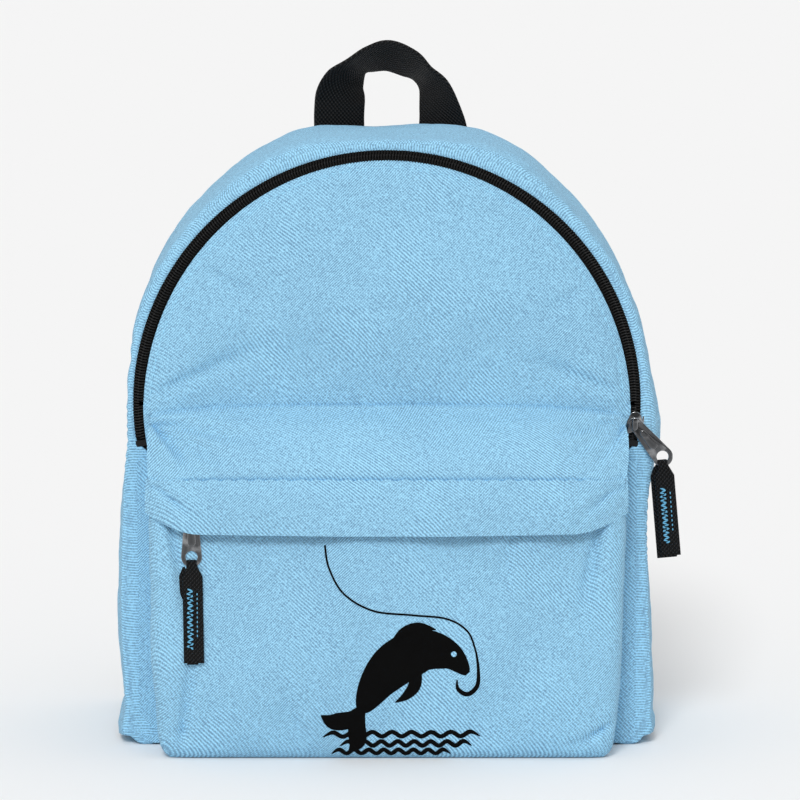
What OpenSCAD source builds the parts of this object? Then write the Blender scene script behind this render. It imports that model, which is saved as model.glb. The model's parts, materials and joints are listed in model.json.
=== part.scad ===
// Small backpack: an arched main compartment closed by a zip round the front panel,
// a zipped front pocket under a storm flap, a carrying handle and two shoulder straps.
// Millimetres. Z is up, the front faces -Y and the wearer's back is at +Y.
// Left and right are -X and +X. The origin is the middle of the base, on the ground.

/* [Main compartment] */
// Width across the side gussets
body_w = 249; // [245:1:253]
// Depth from the front edge of the gusset to the face of the back panel
body_d = 110; // [104:1:120]
// Height of the centre of the arch at the top
arch_z = 165; // [160:1:170]
// Radius of the bottom corners
corner_r = 14; // [8:1:20]
// Thickness of each cloth panel
cloth_t = 1.2; // [1:0.1:1.4]
// Thickness of the foam in the back
back_foam_t = 4; // [3:0.5:6]
// Width of the tape that binds a seam
binding_w = 10; // [8:1:14]

/* [Zips] */
// Radius of the main zip's path round the arch
zip_r = 118; // [117:0.5:119]
// Angle by which the main zip runs on below the arch's centre at each end
zip_end_a = 12.5; // [11:0.5:14]
// Angle of the main slider below the arch's centre when the zip is shut
slider_a = 4.5; // [4:0.5:5]
// Width of one row of coil
coil_w = 2.4; // [2.2:0.1:2.6]
// Thickness of the coil
coil_t = 1.6; // [1.4:0.1:1.8]
// Thickness of the zip tape
tape_t = 0.6; // [0.4:0.1:0.7]
// Length of a slider
slider_l = 10.5; // [9:0.5:12]
// Width of a slider
slider_w = 8.6; // [8.4:0.1:9]

/* [Pullers] */
// Distance from the eye of a puller plate to its lower hole
puller_l = 20.5; // [18:0.5:23]
// Radius of the lower hole
puller_hole_r = 2.8; // [2.6:0.1:3]
// Radius of the round lower end
puller_end_r = 4.9; // [4.7:0.1:5.2]
// Tilt of the main puller away from straight down
puller_tilt = 40; // [30:1:45]
// Length of the main zip's webbing pull
main_pull_l = 43; // [40:1:46]
// Lean of the main zip's webbing pull away from straight down
main_pull_lean = 4.5; // [3:0.5:6]
// Length of the pocket zip's webbing pull
pocket_pull_l = 46; // [40:1:50]
// Width of the webbing pull
pull_w = 9.5; // [9:0.5:10]

/* [Front pocket] */
// Width of the pocket
pocket_w = 218; // [210:1:220]
// Depth of the pocket in front of the main compartment
pocket_d = 33; // [30:1:40]
// Height of the line where the sloping top of the pocket meets its front
pocket_edge_z = 134; // [132:1:136]
// Drop of the pocket's top seam at its two ends
pocket_seam_drop = 6; // [5:0.5:8]
// Height of the pocket zip
pocket_zip_z = 118; // [116:1:119]
// Distance from the middle to the pocket slider at each end of its travel
pocket_slider_x = 91.4; // [85:0.2:92]
// Height of the storm flap's lower edge
storm_low_z = 108; // [106:1:110]
// Distance by which the storm flap's lower edge stands out in front of the pocket
storm_out = 8; // [7.8:0.2:10]

/* [Handle] */
// Width of the webbing
web_w = 25; // [24:0.5:26]
// Thickness of the handle's webbing
handle_t = 2.2; // [1.8:0.1:2.4]
// Distance from the handle's middle line to the middle of each leg
handle_half = 25.75; // [25:0.25:28]
// Rise of the handle's arch above its legs
handle_rise = 26; // [20:1:28]
// Angle by which the webbing twists from its legs to the top
handle_twist = 53; // [40:1:60]

/* [Shoulder straps] */
// Distance from the middle of the back to the top of each strap
strap_top_x = 34; // [32:1:38]
// Height of the seam that holds the top of the straps
strap_top_z = 250.5; // [245:0.5:252]
// Distance from the middle of the back to the lower end of each pad
strap_low_x = 70; // [64:1:74]
// Height of the lower end of each pad
strap_low_z = 100; // [96:1:110]
// Width of a pad at the top
strap_w = 46; // [42:1:50]
// Thickness of the foam in a pad
strap_foam_t = 5.4; // [4:0.2:6]
// Thickness of the webbing that adjusts a strap
web_t = 1.4; // [1.2:0.1:1.5]

/* [Hidden] */

$fn = 96;
blue = [0.45, 0.68, 0.86];
black = [0.05, 0.05, 0.06];
nickel = [0.55, 0.55, 0.57];
grey_foam = [0.75, 0.75, 0.73];

// gap between faces of two bodies that move past each other
gap = 0.3;
// half the space between the two rows of coil, where the slider's post runs
coil_gap = 0.6;
front_y = -body_d / 2;
back_y = body_d / 2;
arch_r = body_w / 2;
// front panel faces, just inside the gusset's front edge
panel_y = front_y + 0.1;
main_zip_y = panel_y + 0.9;
coil_out = coil_gap + coil_w;
tape_out = coil_out + 3;
coil_stop_a = 8.4;
stop_a = 1.4;
pocket_y = front_y - pocket_d;
pocket_zip_y = pocket_y + cloth_t / 2;
pocket_top_z = arch_z - 1.3;
storm_hinge_y = pocket_y - gap;
// distances of the slider's layers from the zip's middle plane
wing_in = 1.2;
wing_out = 2;
eye_mid = 3.2;
crown_in = 4.3;
crown_out = 5;
puller_t = 1;
eye_r = 1.7;
post_r = 1.1;
eye_ring_r = 3;
// ring of a webbing pull, round the lower rim of its puller plate
pull_t = 2.6;
pull_ring_r = 1.5;
pull_ring_t = 0.8;
pull_ring_w = 2.4;
rim_mid = (puller_hole_r + puller_end_r) / 2;
// main puller plate, from its eye
main_eye = zip_r * [cos(slider_a), 0, -sin(slider_a)] + [0, main_zip_y - eye_mid, arch_z];
puller_dir = [sin(puller_tilt), 0, -cos(puller_tilt)];
main_hole = main_eye + puller_l * puller_dir;
pocket_eye = [-pocket_slider_x, pocket_zip_y - eye_mid, pocket_zip_z];
// handle
handle_x = 1.75;
handle_y = back_y + 2;
handle_hinge_z = arch_z + arch_r + 1;
handle_leg = 5;
handle_steps = 24;
sewn_low_z = handle_hinge_z - 22;
// shoulder straps
pad_y = back_y + 1.3;
skin_t = 0.8;
pad_t = strap_foam_t + 2 * skin_t;
strap_steps = 12;
lock_drop = 12;
lock_y = back_y + 4.8;
lock_w = 34;
lock_bar_r = 1.7;
lock_mid = 11;
lock_low = 22;
anchor_x = arch_r - 16.5;
anchor_z = 20;
lock_at = [strap_low_x, lock_y, strap_low_z - lock_drop];
web_a = atan((anchor_x - lock_at[0]) / (lock_at[2] - anchor_z));
web_run = norm([anchor_x - lock_at[0], lock_at[2] - anchor_z]);
tail_l = 60;
big = 400;

// a plane shape drawn in X and Z, given thickness along Y
module plate_y(y0, y1) {
    translate([0, y1, 0]) rotate([90, 0, 0]) linear_extrude(y1 - y0) children();
}

// a plane shape drawn in Y and Z, given thickness along X
module plate_x(x0, x1) {
    translate([x0, 0, 0]) rotate([90, 0, 90]) linear_extrude(x1 - x0) children();
}

// stands a shape drawn flat upright, so that its top faces the front
module facing_front(at, turn = 0) {
    translate(at) rotate([90, 0, 0]) rotate(turn) children();
}

// points round a circle's arc
function arc(at, r, a0, a1, steps = 24) = [for (i = [0:steps])
    let (a = a0 + (a1 - a0) * i / steps) at + r * [cos(a), sin(a)]];

module mirrored(left) {
    mirror([left ? 1 : 0, 0, 0]) children();
}

module above(z) {
    translate([-big, z]) square([2 * big, big]);
}

module below(z) {
    translate([-big, z - big]) square([2 * big, big]);
}

// the front outline of the bag: an arch on straight sides with rounded bottom corners
module body_outline(inset = 0) {
    r = arch_r - inset;
    c = corner_r - inset;
    translate([0, arch_z]) circle(r = r, $fn = 180);
    translate([-r, corner_r]) square([2 * r, arch_z - corner_r]);
    translate([c - r, inset]) square([2 * (r - c), corner_r - inset + 1]);
    for (s = [-1, 1]) translate([s * (r - c), corner_r]) circle(r = max(c, 1));
}

module outline_ring(inset_out, inset_in) {
    difference() {
        body_outline(inset_out);
        body_outline(inset_in);
    }
}

// wedge of the arch between two angles from +X
module wedge(a0, a1) {
    step = (a1 - a0) / 8;
    translate([0, arch_z]) polygon([[0, 0], for (i = [0:8]) 2 * arch_r * [cos(a0 + i * step), sin(a0 + i * step)]]);
}

module arch_disc(r) {
    translate([0, arch_z]) circle(r = r, $fn = 180);
}

module arch_band(r0, r1) {
    difference() {
        arch_disc(r1);
        arch_disc(r0);
    }
}

// ---- main compartment ----

module back_panel() {
    color(blue) plate_y(back_y - cloth_t, back_y) body_outline();
}

module back_foam() {
    y1 = back_y - cloth_t;
    color(grey_foam) plate_y(y1 - back_foam_t, y1) body_outline(4);
}

module back_lining() {
    y1 = back_y - cloth_t - back_foam_t;
    color(blue) plate_y(y1 - skin_t, y1) body_outline(4);
}

module gusset_strip() {
    color(blue) plate_y(front_y, back_y - cloth_t) intersection() {
        outline_ring(0, cloth_t);
        children();
    }
}

module top_gusset() {
    gusset_strip() above(arch_z);
}

module side_gusset(left) {
    mirrored(left) gusset_strip() translate([0, corner_r]) square([big, arch_z - corner_r]);
}

module side_gusset_left() {
    side_gusset(true);
}

module side_gusset_right() {
    side_gusset(false);
}

module bottom_panel() {
    gusset_strip() below(corner_r);
}

// part of the front that stays fixed: below the fold, and cut away round the ends of the zip
module front_lower_panel() {
    color(blue) plate_y(panel_y, panel_y + cloth_t) difference() {
        intersection() {
            body_outline(cloth_t);
            below(arch_z - gap);
        }
        intersection() {
            wedge(-zip_end_a, 180 + zip_end_a);
            arch_band(zip_r - tape_out, 2 * arch_r);
        }
    }
}

module seam_binding(y0, y1) {
    color(blue) plate_y(y0, y1) intersection() {
        outline_ring(cloth_t, cloth_t + 2);
        children();
    }
}

module rear_seam_binding() {
    y1 = back_y - cloth_t;
    seam_binding(y1 - binding_w, y1) above(0);
}

module front_seam_binding() {
    y0 = panel_y + cloth_t;
    seam_binding(y0, y0 + binding_w) below(arch_z - zip_r * sin(zip_end_a));
}

// ---- main zip ----

module main_tape() {
    color(black) plate_y(main_zip_y - tape_t / 2, main_zip_y + tape_t / 2) children();
}

module main_coil() {
    color(black) plate_y(main_zip_y - coil_t / 2, main_zip_y + coil_t / 2) intersection() {
        wedge(-coil_stop_a, 180 + coil_stop_a);
        children();
    }
}

module inner_tape_shape() {
    intersection() {
        wedge(-zip_end_a, 180 + zip_end_a);
        arch_band(zip_r - tape_out, zip_r - coil_out);
    }
}

module inner_coil_shape() {
    arch_band(zip_r - coil_out, zip_r - coil_gap);
}

module main_zip_outer_tape() {
    main_tape() intersection() {
        wedge(-zip_end_a, 180 + zip_end_a);
        difference() {
            body_outline(cloth_t);
            arch_disc(zip_r + coil_out);
        }
    }
}

module main_zip_outer_coil() {
    main_coil() arch_band(zip_r + coil_gap, zip_r + coil_out);
}

module main_zip_end_tapes() {
    main_tape() intersection() {
        inner_tape_shape();
        below(arch_z - gap);
    }
}

module main_zip_end_coils() {
    main_coil() intersection() {
        inner_coil_shape();
        below(arch_z - gap);
    }
}

module main_zip_stops() {
    low = coil_stop_a + 0.1;
    color(nickel) for (left = [true, false]) mirrored(left)
        plate_y(main_zip_y - wing_in, main_zip_y + wing_in) intersection() {
            wedge(-low - stop_a, -low);
            arch_band(zip_r - coil_out + 0.2, zip_r + coil_out - 0.2);
        }
}

// ---- front flap: the part of the front panel inside the zip, which folds down ----

module front_flap_panel() {
    color(blue) plate_y(panel_y, panel_y + cloth_t) intersection() {
        arch_disc(zip_r - tape_out);
        above(arch_z + gap);
    }
}

module main_zip_flap_tape() {
    main_tape() intersection() {
        inner_tape_shape();
        above(arch_z + gap);
    }
}

module main_zip_flap_coil() {
    main_coil() intersection() {
        inner_coil_shape();
        above(arch_z + gap);
    }
}

// ---- sliders and pullers, drawn flat with the front side up and X along the zip ----

module zip_slider() {
    flange_in = coil_out + 0.5;
    flange_w = slider_w / 2 - flange_in;
    slot = tape_t / 2 + gap;
    color(nickel) {
        for (z = [wing_in, -wing_out]) translate([-slider_l / 2, -slider_w / 2, z])
            cube([slider_l, slider_w, wing_out - wing_in]);
        for (y = [flange_in, -slider_w / 2]) for (z = [slot, -wing_in])
            translate([1 - slider_l / 2, y, z]) cube([slider_l - 2, flange_w, wing_in - slot]);
        translate([-slider_l / 2 + 0.6, -gap, -wing_in]) cube([3, 2 * gap, 2 * wing_in]);
        translate([0, 0, wing_in]) cylinder(r = post_r, h = crown_out - wing_in);
        translate([-slider_l / 2 + 1.5, -post_r, crown_in])
            cube([slider_l - 3, 2 * post_r, crown_out - crown_in]);
    }
}

// plate with its eye at the origin, hanging towards -Y
module puller_plate() {
    lean = asin((puller_end_r - eye_ring_r) / puller_l);
    color(nickel) translate([0, 0, -puller_t / 2]) linear_extrude(puller_t) difference() {
        polygon(concat(
            arc([0, 0], eye_ring_r, lean, 180 - lean),
            arc([0, -puller_l], puller_end_r, 180 - lean, 360 + lean)));
        circle(r = eye_r);
        translate([0, -puller_l]) circle(r = puller_hole_r);
    }
}

// folded webbing with its ring at the origin, hanging towards -Y
module web_pull(pull_l) {
    outer = pull_ring_r + pull_ring_t;
    color(black) {
        rotate([0, 90, 0]) difference() {
            cylinder(r = outer, h = pull_ring_w, center = true);
            cylinder(r = pull_ring_r, h = pull_ring_w + 1, center = true);
        }
        translate([-pull_w / 2, -outer + gap - pull_l, -pull_t / 2]) cube([pull_w, pull_l, pull_t]);
    }
}

module main_slider() {
    facing_front([main_eye[0], main_zip_y, main_eye[2]], 90 - slider_a) zip_slider();
}

module main_puller() {
    facing_front(main_eye, puller_tilt) puller_plate();
}

module main_pull() {
    facing_front(main_hole, main_pull_lean) translate([0, -rim_mid, 0]) web_pull(main_pull_l);
}

module pocket_slider() {
    facing_front([pocket_eye[0], pocket_zip_y, pocket_eye[2]]) zip_slider();
}

module pocket_puller() {
    facing_front(pocket_eye) puller_plate();
}

module pocket_pull() {
    facing_front(pocket_eye - [0, 0, puller_l + rim_mid]) web_pull(pocket_pull_l);
}

// ---- front pocket ----

pocket_in = pocket_w / 2 - cloth_t;
// half length of the level part of the pocket's top seam
pocket_level = pocket_w / 2 - 13;
pocket_lip_high = pocket_zip_z + coil_out + 2;
pocket_lip_low = pocket_zip_z - coil_out - 2;

// section of the sloping cloth, with its upper edge lowered by a drop
module pocket_slope(drop) {
    polygon([
        [panel_y, pocket_top_z - drop],
        [pocket_y, pocket_edge_z],
        [pocket_y + cloth_t, pocket_edge_z - 0.6],
        [panel_y, pocket_top_z - 1.9 - drop]]);
}

// sloping cloth that falls away at its two ends, above the cloth over the pocket's zip
module pocket_top() {
    slice = 0.01;
    color(blue) {
        plate_x(-pocket_in, pocket_in) polygon([
            [pocket_y, pocket_edge_z],
            [pocket_y, pocket_lip_high],
            [pocket_y + cloth_t, pocket_lip_high],
            [pocket_y + cloth_t, pocket_edge_z - 0.6]]);
        plate_x(-pocket_level, pocket_level) pocket_slope(0);
        for (left = [true, false]) mirrored(left) hull() {
            plate_x(pocket_level - slice, pocket_level) pocket_slope(0);
            plate_x(pocket_in - slice, pocket_in) pocket_slope(pocket_seam_drop);
        }
    }
}

module pocket_front() {
    color(blue) translate([-pocket_in, pocket_y, cloth_t])
        cube([2 * pocket_in, cloth_t, pocket_lip_low - cloth_t]);
}

module pocket_side(left) {
    color(blue) mirrored(left) plate_x(pocket_in, pocket_in + cloth_t) polygon([
        [panel_y, 0],
        [panel_y, pocket_top_z - pocket_seam_drop],
        [pocket_y, pocket_edge_z],
        [pocket_y, 0]]);
}

module pocket_side_left() {
    pocket_side(true);
}

module pocket_side_right() {
    pocket_side(false);
}

module pocket_bottom() {
    color(blue) translate([-pocket_in, pocket_y, 0]) cube([2 * pocket_in, pocket_d, cloth_t]);
}

module pocket_zip_strip(half_l, t, z0, z1) {
    color(black) translate([-half_l, pocket_zip_y - t / 2, z0]) cube([2 * half_l, t, z1 - z0]);
}

coil_half = pocket_slider_x + slider_l / 2 + 2.3;

module pocket_zip_upper_tape() {
    pocket_zip_strip(pocket_in, tape_t, pocket_zip_z + coil_out, pocket_lip_high);
}

module pocket_zip_lower_tape() {
    pocket_zip_strip(pocket_in, tape_t, pocket_lip_low, pocket_zip_z - coil_out);
}

module pocket_zip_upper_coil() {
    pocket_zip_strip(coil_half, coil_t, pocket_zip_z + coil_gap, pocket_zip_z + coil_out);
}

module pocket_zip_lower_coil() {
    pocket_zip_strip(coil_half, coil_t, pocket_zip_z - coil_out, pocket_zip_z - coil_gap);
}

module pocket_zip_stops() {
    h = 2 * coil_out - 0.4;
    color(nickel) for (left = [true, false]) mirrored(left)
        translate([coil_half + 0.2, pocket_zip_y - wing_in, pocket_zip_z - h / 2]) cube([2, 2 * wing_in, h]);
}

// flap that hangs over the pocket zip from the pocket's front edge
module storm_flap() {
    low_y = pocket_y - storm_out;
    color(blue) plate_x(-pocket_in, pocket_in) polygon([
        [storm_hinge_y, pocket_edge_z - gap],
        [storm_hinge_y - cloth_t, pocket_edge_z - gap],
        [low_y - cloth_t, storm_low_z],
        [low_y, storm_low_z]]);
}

// ---- handle ----

// middle of the webbing and its half width, at angle a round the handle's arch
function handle_mid(a) = [handle_x + handle_half * cos(a), handle_y,
    handle_hinge_z + handle_leg + handle_rise * sin(a)];
function handle_in(a) = let (n = [-handle_rise * cos(a), 0, -handle_half * sin(a)]) n / norm(n);
function handle_side(a) = let (twist = handle_twist * pow(sin(a), 2))
    cos(twist) * handle_in(a) + [0, sin(twist), 0];
function handle_along(a) = let (d = [-handle_half * sin(a), 0, handle_rise * cos(a)]) d / norm(d);
function handle_corners(mid, side, out) = [
    mid + side * web_w / 2 + out, mid - side * web_w / 2 + out,
    mid - side * web_w / 2 - out, mid + side * web_w / 2 - out];
function handle_ring(a) = handle_corners(handle_mid(a), handle_side(a),
    cross(handle_along(a), handle_side(a)) * handle_t / 2);
function lowered(ring, drop) = [for (p = ring) p - [0, 0, drop]];

module grab_handle() {
    rings = concat(
        [lowered(handle_ring(0), handle_leg - 2 * gap)],
        [for (i = [0:handle_steps]) handle_ring(180 * i / handle_steps)],
        [lowered(handle_ring(180), handle_leg - 2 * gap)]);
    last = len(rings) - 1;
    faces = concat(
        [[3, 2, 1, 0]],
        [for (i = [0:last - 1]) for (k = [0:3])
            let (n = (k + 1) % 4) for (f = [[4 * i + k, 4 * i + n, 4 * i + 4 + n],
                [4 * i + k, 4 * i + 4 + n, 4 * i + 4 + k]]) f],
        [[4 * last, 4 * last + 1, 4 * last + 2, 4 * last + 3]]);
    color(black) polyhedron([for (r = rings) for (p = r) p], faces);
}

module handle_sewn_ends() {
    h = handle_hinge_z - 2 * gap - sewn_low_z;
    color(black) for (s = [-1, 1])
        translate([handle_x + s * handle_half - web_w / 2, back_y, sewn_low_z]) cube([web_w, handle_t, h]);
}

// ---- shoulder straps ----

module strap_yoke() {
    color(blue) translate([-62, back_y, strap_top_z + 1.5]) cube([124, handle_t, 15]);
}

// middle line and half width of a pad, at a fraction u of the way down
function strap_z(u) = strap_top_z + (strap_low_z - strap_top_z) * u;
function strap_mid(u) = strap_top_x + (strap_low_x - strap_top_x) * pow(u, 2);
function strap_half(u) = strap_w / 2 - 5 * u;

module strap_outline(inset) {
    shrink = 1 - 2 * inset / (strap_top_z - strap_low_z);
    us = [for (i = [0:strap_steps]) 0.5 + (i / strap_steps - 0.5) * shrink];
    polygon(concat(
        [for (u = us) [strap_mid(u) + strap_half(u) - inset, strap_z(u)]],
        [for (i = [strap_steps:-1:0]) [strap_mid(us[i]) - strap_half(us[i]) + inset, strap_z(us[i])]]));
}

module strap_layer(left, y0, t) {
    mirrored(left) plate_y(y0, y0 + t) strap_outline(cloth_t);
}

module strap_binding(left) {
    color(black) mirrored(left) plate_y(pad_y, pad_y + pad_t) difference() {
        strap_outline(0);
        strap_outline(cloth_t);
    }
}

module strap_lining_left() {
    color(black) strap_layer(true, pad_y, skin_t);
}

module strap_lining_right() {
    color(black) strap_layer(false, pad_y, skin_t);
}

module strap_foam_left() {
    color(grey_foam) strap_layer(true, pad_y + skin_t, strap_foam_t);
}

module strap_foam_right() {
    color(grey_foam) strap_layer(false, pad_y + skin_t, strap_foam_t);
}

module strap_face_left() {
    color(blue) strap_layer(true, pad_y + skin_t + strap_foam_t, skin_t);
}

module strap_face_right() {
    color(blue) strap_layer(false, pad_y + skin_t + strap_foam_t, skin_t);
}

module strap_binding_left() {
    strap_binding(true);
}

module strap_binding_right() {
    strap_binding(false);
}

// puts what is drawn round the lock's top bar, with the webbing running towards -Z, in its place
module at_lock(left) {
    mirrored(left) translate(lock_at) rotate([0, -web_a, 0]) children();
}

// short loop that holds the ladder lock at the end of a pad
module lock_loop(left) {
    tube_l = web_w - 1;
    tube_r = lock_bar_r + gap + 1.2;
    color(black) {
        at_lock(left) rotate([0, 90, 0]) difference() {
            cylinder(r = tube_r, h = tube_l, center = true);
            cylinder(r = lock_bar_r + gap, h = tube_l + 1, center = true);
        }
        mirrored(left) translate([lock_at[0], lock_y - 1.2, 0]) rotate([90, 0, 0]) mirror([0, 0, 1])
            linear_extrude(2.4) intersection() {
                translate([0, lock_at[2]]) rotate(web_a) translate([-tube_l / 2, tube_r - 0.6])
                    square([tube_l, lock_drop + 10]);
                translate([-big, 0]) square([2 * big, strap_low_z]);
            }
    }
}

module lock_loop_left() {
    lock_loop(true);
}

module lock_loop_right() {
    lock_loop(false);
}

// frame with a round top bar held in the loop, and two bars that grip the webbing
module ladder_lock(left) {
    rail_w = 3.5;
    rail_x = lock_w / 2 - rail_w;
    color(black) at_lock(left) {
        rotate([0, 90, 0]) cylinder(r = lock_bar_r, h = 2 * rail_x + 2, center = true);
        for (x = [-lock_w / 2, rail_x]) translate([x, -2, -lock_low - 2]) cube([rail_w, 4, lock_low + 4]);
        for (z = [lock_mid, lock_low]) translate([-rail_x - 1, -1.75, -z - 1.75]) cube([2 * rail_x + 2, 3.5, 3.5]);
    }
}

module ladder_lock_left() {
    ladder_lock(true);
}

module ladder_lock_right() {
    ladder_lock(false);
}

// webbing from the anchor up behind the lock, over its middle bar and down again as the free tail
module strap_webbing(left) {
    bar = 1.75;
    inner = bar + 0.45;
    outer = inner + web_t;
    turn_z = -lock_mid + bar + 0.25;
    color(black) at_lock(left) plate_x(-web_w / 2, web_w / 2) {
        translate([-outer, -web_run]) square([web_t, web_run + turn_z]);
        translate([-outer, turn_z]) square([2 * outer, web_t]);
        translate([inner, -tail_l]) square([web_t, tail_l + turn_z]);
    }
}

module strap_webbing_left() {
    strap_webbing(true);
}

module strap_webbing_right() {
    strap_webbing(false);
}

// cloth tab sewn into the side seam, which holds the lower end of the webbing
module strap_anchor(left) {
    x1 = arch_r - 0.1;
    color(blue) mirrored(left) plate_y(back_y, back_y + cloth_t - 0.05) polygon([
        [x1, 10], [x1, 52], [anchor_x - 12, 34], [anchor_x - 12, 14]]);
}

module strap_anchor_left() {
    strap_anchor(true);
}

module strap_anchor_right() {
    strap_anchor(false);
}

back_panel();
back_foam();
back_lining();
top_gusset();
side_gusset_left();
side_gusset_right();
bottom_panel();
front_lower_panel();
rear_seam_binding();
front_seam_binding();
main_zip_outer_tape();
main_zip_outer_coil();
main_zip_end_tapes();
main_zip_end_coils();
main_zip_stops();
front_flap_panel();
main_zip_flap_tape();
main_zip_flap_coil();
main_slider();
main_puller();
main_pull();
pocket_top();
pocket_front();
pocket_side_left();
pocket_side_right();
pocket_bottom();
pocket_zip_upper_tape();
pocket_zip_upper_coil();
pocket_zip_lower_tape();
pocket_zip_lower_coil();
pocket_zip_stops();
storm_flap();
pocket_slider();
pocket_puller();
pocket_pull();
grab_handle();
handle_sewn_ends();
strap_yoke();
strap_face_left();
strap_face_right();
strap_foam_left();
strap_foam_right();
strap_lining_left();
strap_lining_right();
strap_binding_left();
strap_binding_right();
lock_loop_left();
lock_loop_right();
ladder_lock_left();
ladder_lock_right();
strap_webbing_left();
strap_webbing_right();
strap_anchor_left();
strap_anchor_right();
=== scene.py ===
"""Small zipped backpack: the looks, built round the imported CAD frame.

Lengths are in millimetres in the helpers and are turned into metres when a mesh is made.
Every driving size is read from the frame's own nodes and joints.
"""

import json
import math

import bmesh
import bpy
from mathutils import Matrix, Vector, noise


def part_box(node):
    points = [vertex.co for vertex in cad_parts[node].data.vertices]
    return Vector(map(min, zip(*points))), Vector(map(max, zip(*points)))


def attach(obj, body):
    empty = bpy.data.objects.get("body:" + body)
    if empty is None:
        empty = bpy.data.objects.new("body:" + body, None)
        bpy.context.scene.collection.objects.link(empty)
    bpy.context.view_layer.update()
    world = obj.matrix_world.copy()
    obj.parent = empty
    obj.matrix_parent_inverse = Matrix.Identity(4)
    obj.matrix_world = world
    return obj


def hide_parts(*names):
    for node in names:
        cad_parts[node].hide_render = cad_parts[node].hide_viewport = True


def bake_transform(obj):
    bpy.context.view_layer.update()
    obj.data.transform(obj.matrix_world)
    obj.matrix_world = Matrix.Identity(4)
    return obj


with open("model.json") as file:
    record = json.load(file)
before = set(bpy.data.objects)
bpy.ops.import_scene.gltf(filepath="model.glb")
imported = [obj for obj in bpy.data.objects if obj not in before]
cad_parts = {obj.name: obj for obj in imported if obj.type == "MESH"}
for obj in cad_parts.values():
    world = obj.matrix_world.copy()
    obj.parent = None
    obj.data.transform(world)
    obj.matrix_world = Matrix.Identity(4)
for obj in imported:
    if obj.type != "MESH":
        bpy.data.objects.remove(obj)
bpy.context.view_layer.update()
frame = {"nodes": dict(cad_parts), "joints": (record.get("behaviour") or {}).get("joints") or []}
MM = 0.001


# ---------------------------------------------------------------- sizes from the frame

def low(node):
    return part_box(node)[0] / MM


def high(node):
    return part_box(node)[1] / MM


JOINTS = {j["name"]: j for j in frame["joints"]}


def pivot(joint):
    return Vector(JOINTS[joint]["pos_m"]) / MM


ARCH_Z = low("top_gusset").z
BODY_R = high("top_gusset").x
FRONT_Y = low("top_gusset").y
BACK_Y = high("back_panel").y
CORNER_R = high("bottom_panel").z
ZIP_R = (high("main_zip_flap_coil").x + low("main_zip_outer_coil").x * -1) / 2 - 1.2
ZIP_Y = (low("main_zip_outer_coil").y + high("main_zip_outer_coil").y) / 2
POCKET_X = high("pocket_side_right").x
POCKET_Y = low("pocket_front").y
POCKET_TOP = high("pocket_top").z
POCKET_EDGE = high("storm_flap").z
POCKET_ZIP_Z = (low("pocket_zip_lower_tape").z + high("pocket_zip_upper_tape").z) / 2
STORM_LOW = low("storm_flap").z
ZIP_END = math.degrees(math.asin((ARCH_Z - low("main_zip_outer_tape").z) / (ZIP_R + 3)))
CLOTH_T = 0.9
LIP = 2.35
MAIN_PULL_LEAN = 4.5  # degrees that the main pull hangs away from upright


# ---------------------------------------------------------------- small maths

def clamp(x, a=0.0, b=1.0):
    return max(a, min(b, x))


def smooth(x, a=0.0, b=1.0):
    t = clamp((x - a) / (b - a))
    return t * t * (3 - 2 * t)


def bump(x, centre, width):
    return math.exp(-((x - centre) / width) ** 2)


def rough(x, y, z, size, seed=0.0):
    return noise.noise(Vector((x / size + seed, y / size - seed, z / size + 2 * seed)))


def fold(x, z, x0, z0, x1, z1, width, depth):
    """Crease along the line from (x0, z0), deepest near its start, to (x1, z1)."""
    dx, dz = x1 - x0, z1 - z0
    t = ((x - x0) * dx + (z - z0) * dz) / (dx * dx + dz * dz)
    if t < -0.2 or t > 1.1:
        return 0.0
    off = ((x - x0) * dz - (z - z0) * dx) / math.hypot(dx, dz)
    w = width * (0.5 + 0.8 * clamp(t))
    return depth * math.exp(-(off / w) ** 2) * smooth(t, -0.2, 0.1) * (1 - smooth(t, 0.45, 1.1))


def spline(points, t):
    """Point at t from 0 to 1 on a Catmull-Rom curve through points of any number of values."""
    n = len(points) - 1
    i = min(int(t * n), n - 1)
    f = t * n - i
    p = [points[max(0, min(n, i + k))] for k in (-1, 0, 1, 2)]
    return tuple(
        0.5 * (2 * b + (c - a) * f + (2 * a - 5 * b + 4 * c - d) * f * f
               + (3 * b - a - 3 * c + d) * f ** 3)
        for a, b, c, d in zip(*p))


# ---------------------------------------------------------------- meshes

def add_object(name, data):
    thing = bpy.data.objects.new(name, data)
    bpy.context.scene.collection.objects.link(thing)
    return thing


def mesh_object(name, verts, faces, material, attributes=None):
    mesh = bpy.data.meshes.new(name)
    mesh.from_pydata([Vector(v) * MM for v in verts], [], faces)
    for key, values in (attributes or {}).items():
        mesh.attributes.new(key, "FLOAT", "POINT").data.foreach_set("value", values)
    mesh.validate()
    mesh.shade_smooth()
    piece = add_object(name, mesh)
    mesh.materials.append(material)
    return piece


def apply_modifiers(piece):
    depsgraph = bpy.context.evaluated_depsgraph_get()
    done = bpy.data.meshes.new_from_object(piece.evaluated_get(depsgraph))
    piece.modifiers.clear()
    piece.data = done
    return piece


def declare(piece, body, slot, *nodes):
    """Says which body a piece rides and which CAD nodes it replaces, which it hides. The slot argument is not
    used.
    """
    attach(piece, body)
    if nodes:
        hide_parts(*nodes)


def thicken(piece, thickness):
    """Gives an open sheet its thickness, on the side away from its normals."""
    solid = piece.modifiers.new("thickness", "SOLIDIFY")
    solid.thickness = thickness * MM
    solid.offset = -1.0
    apply_modifiers(piece)
    for vertex in piece.data.vertices:
        vertex.co.z = max(vertex.co.z, 0.0)
    piece.data.set_sharp_from_angle(angle=math.radians(50))
    return piece


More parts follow.
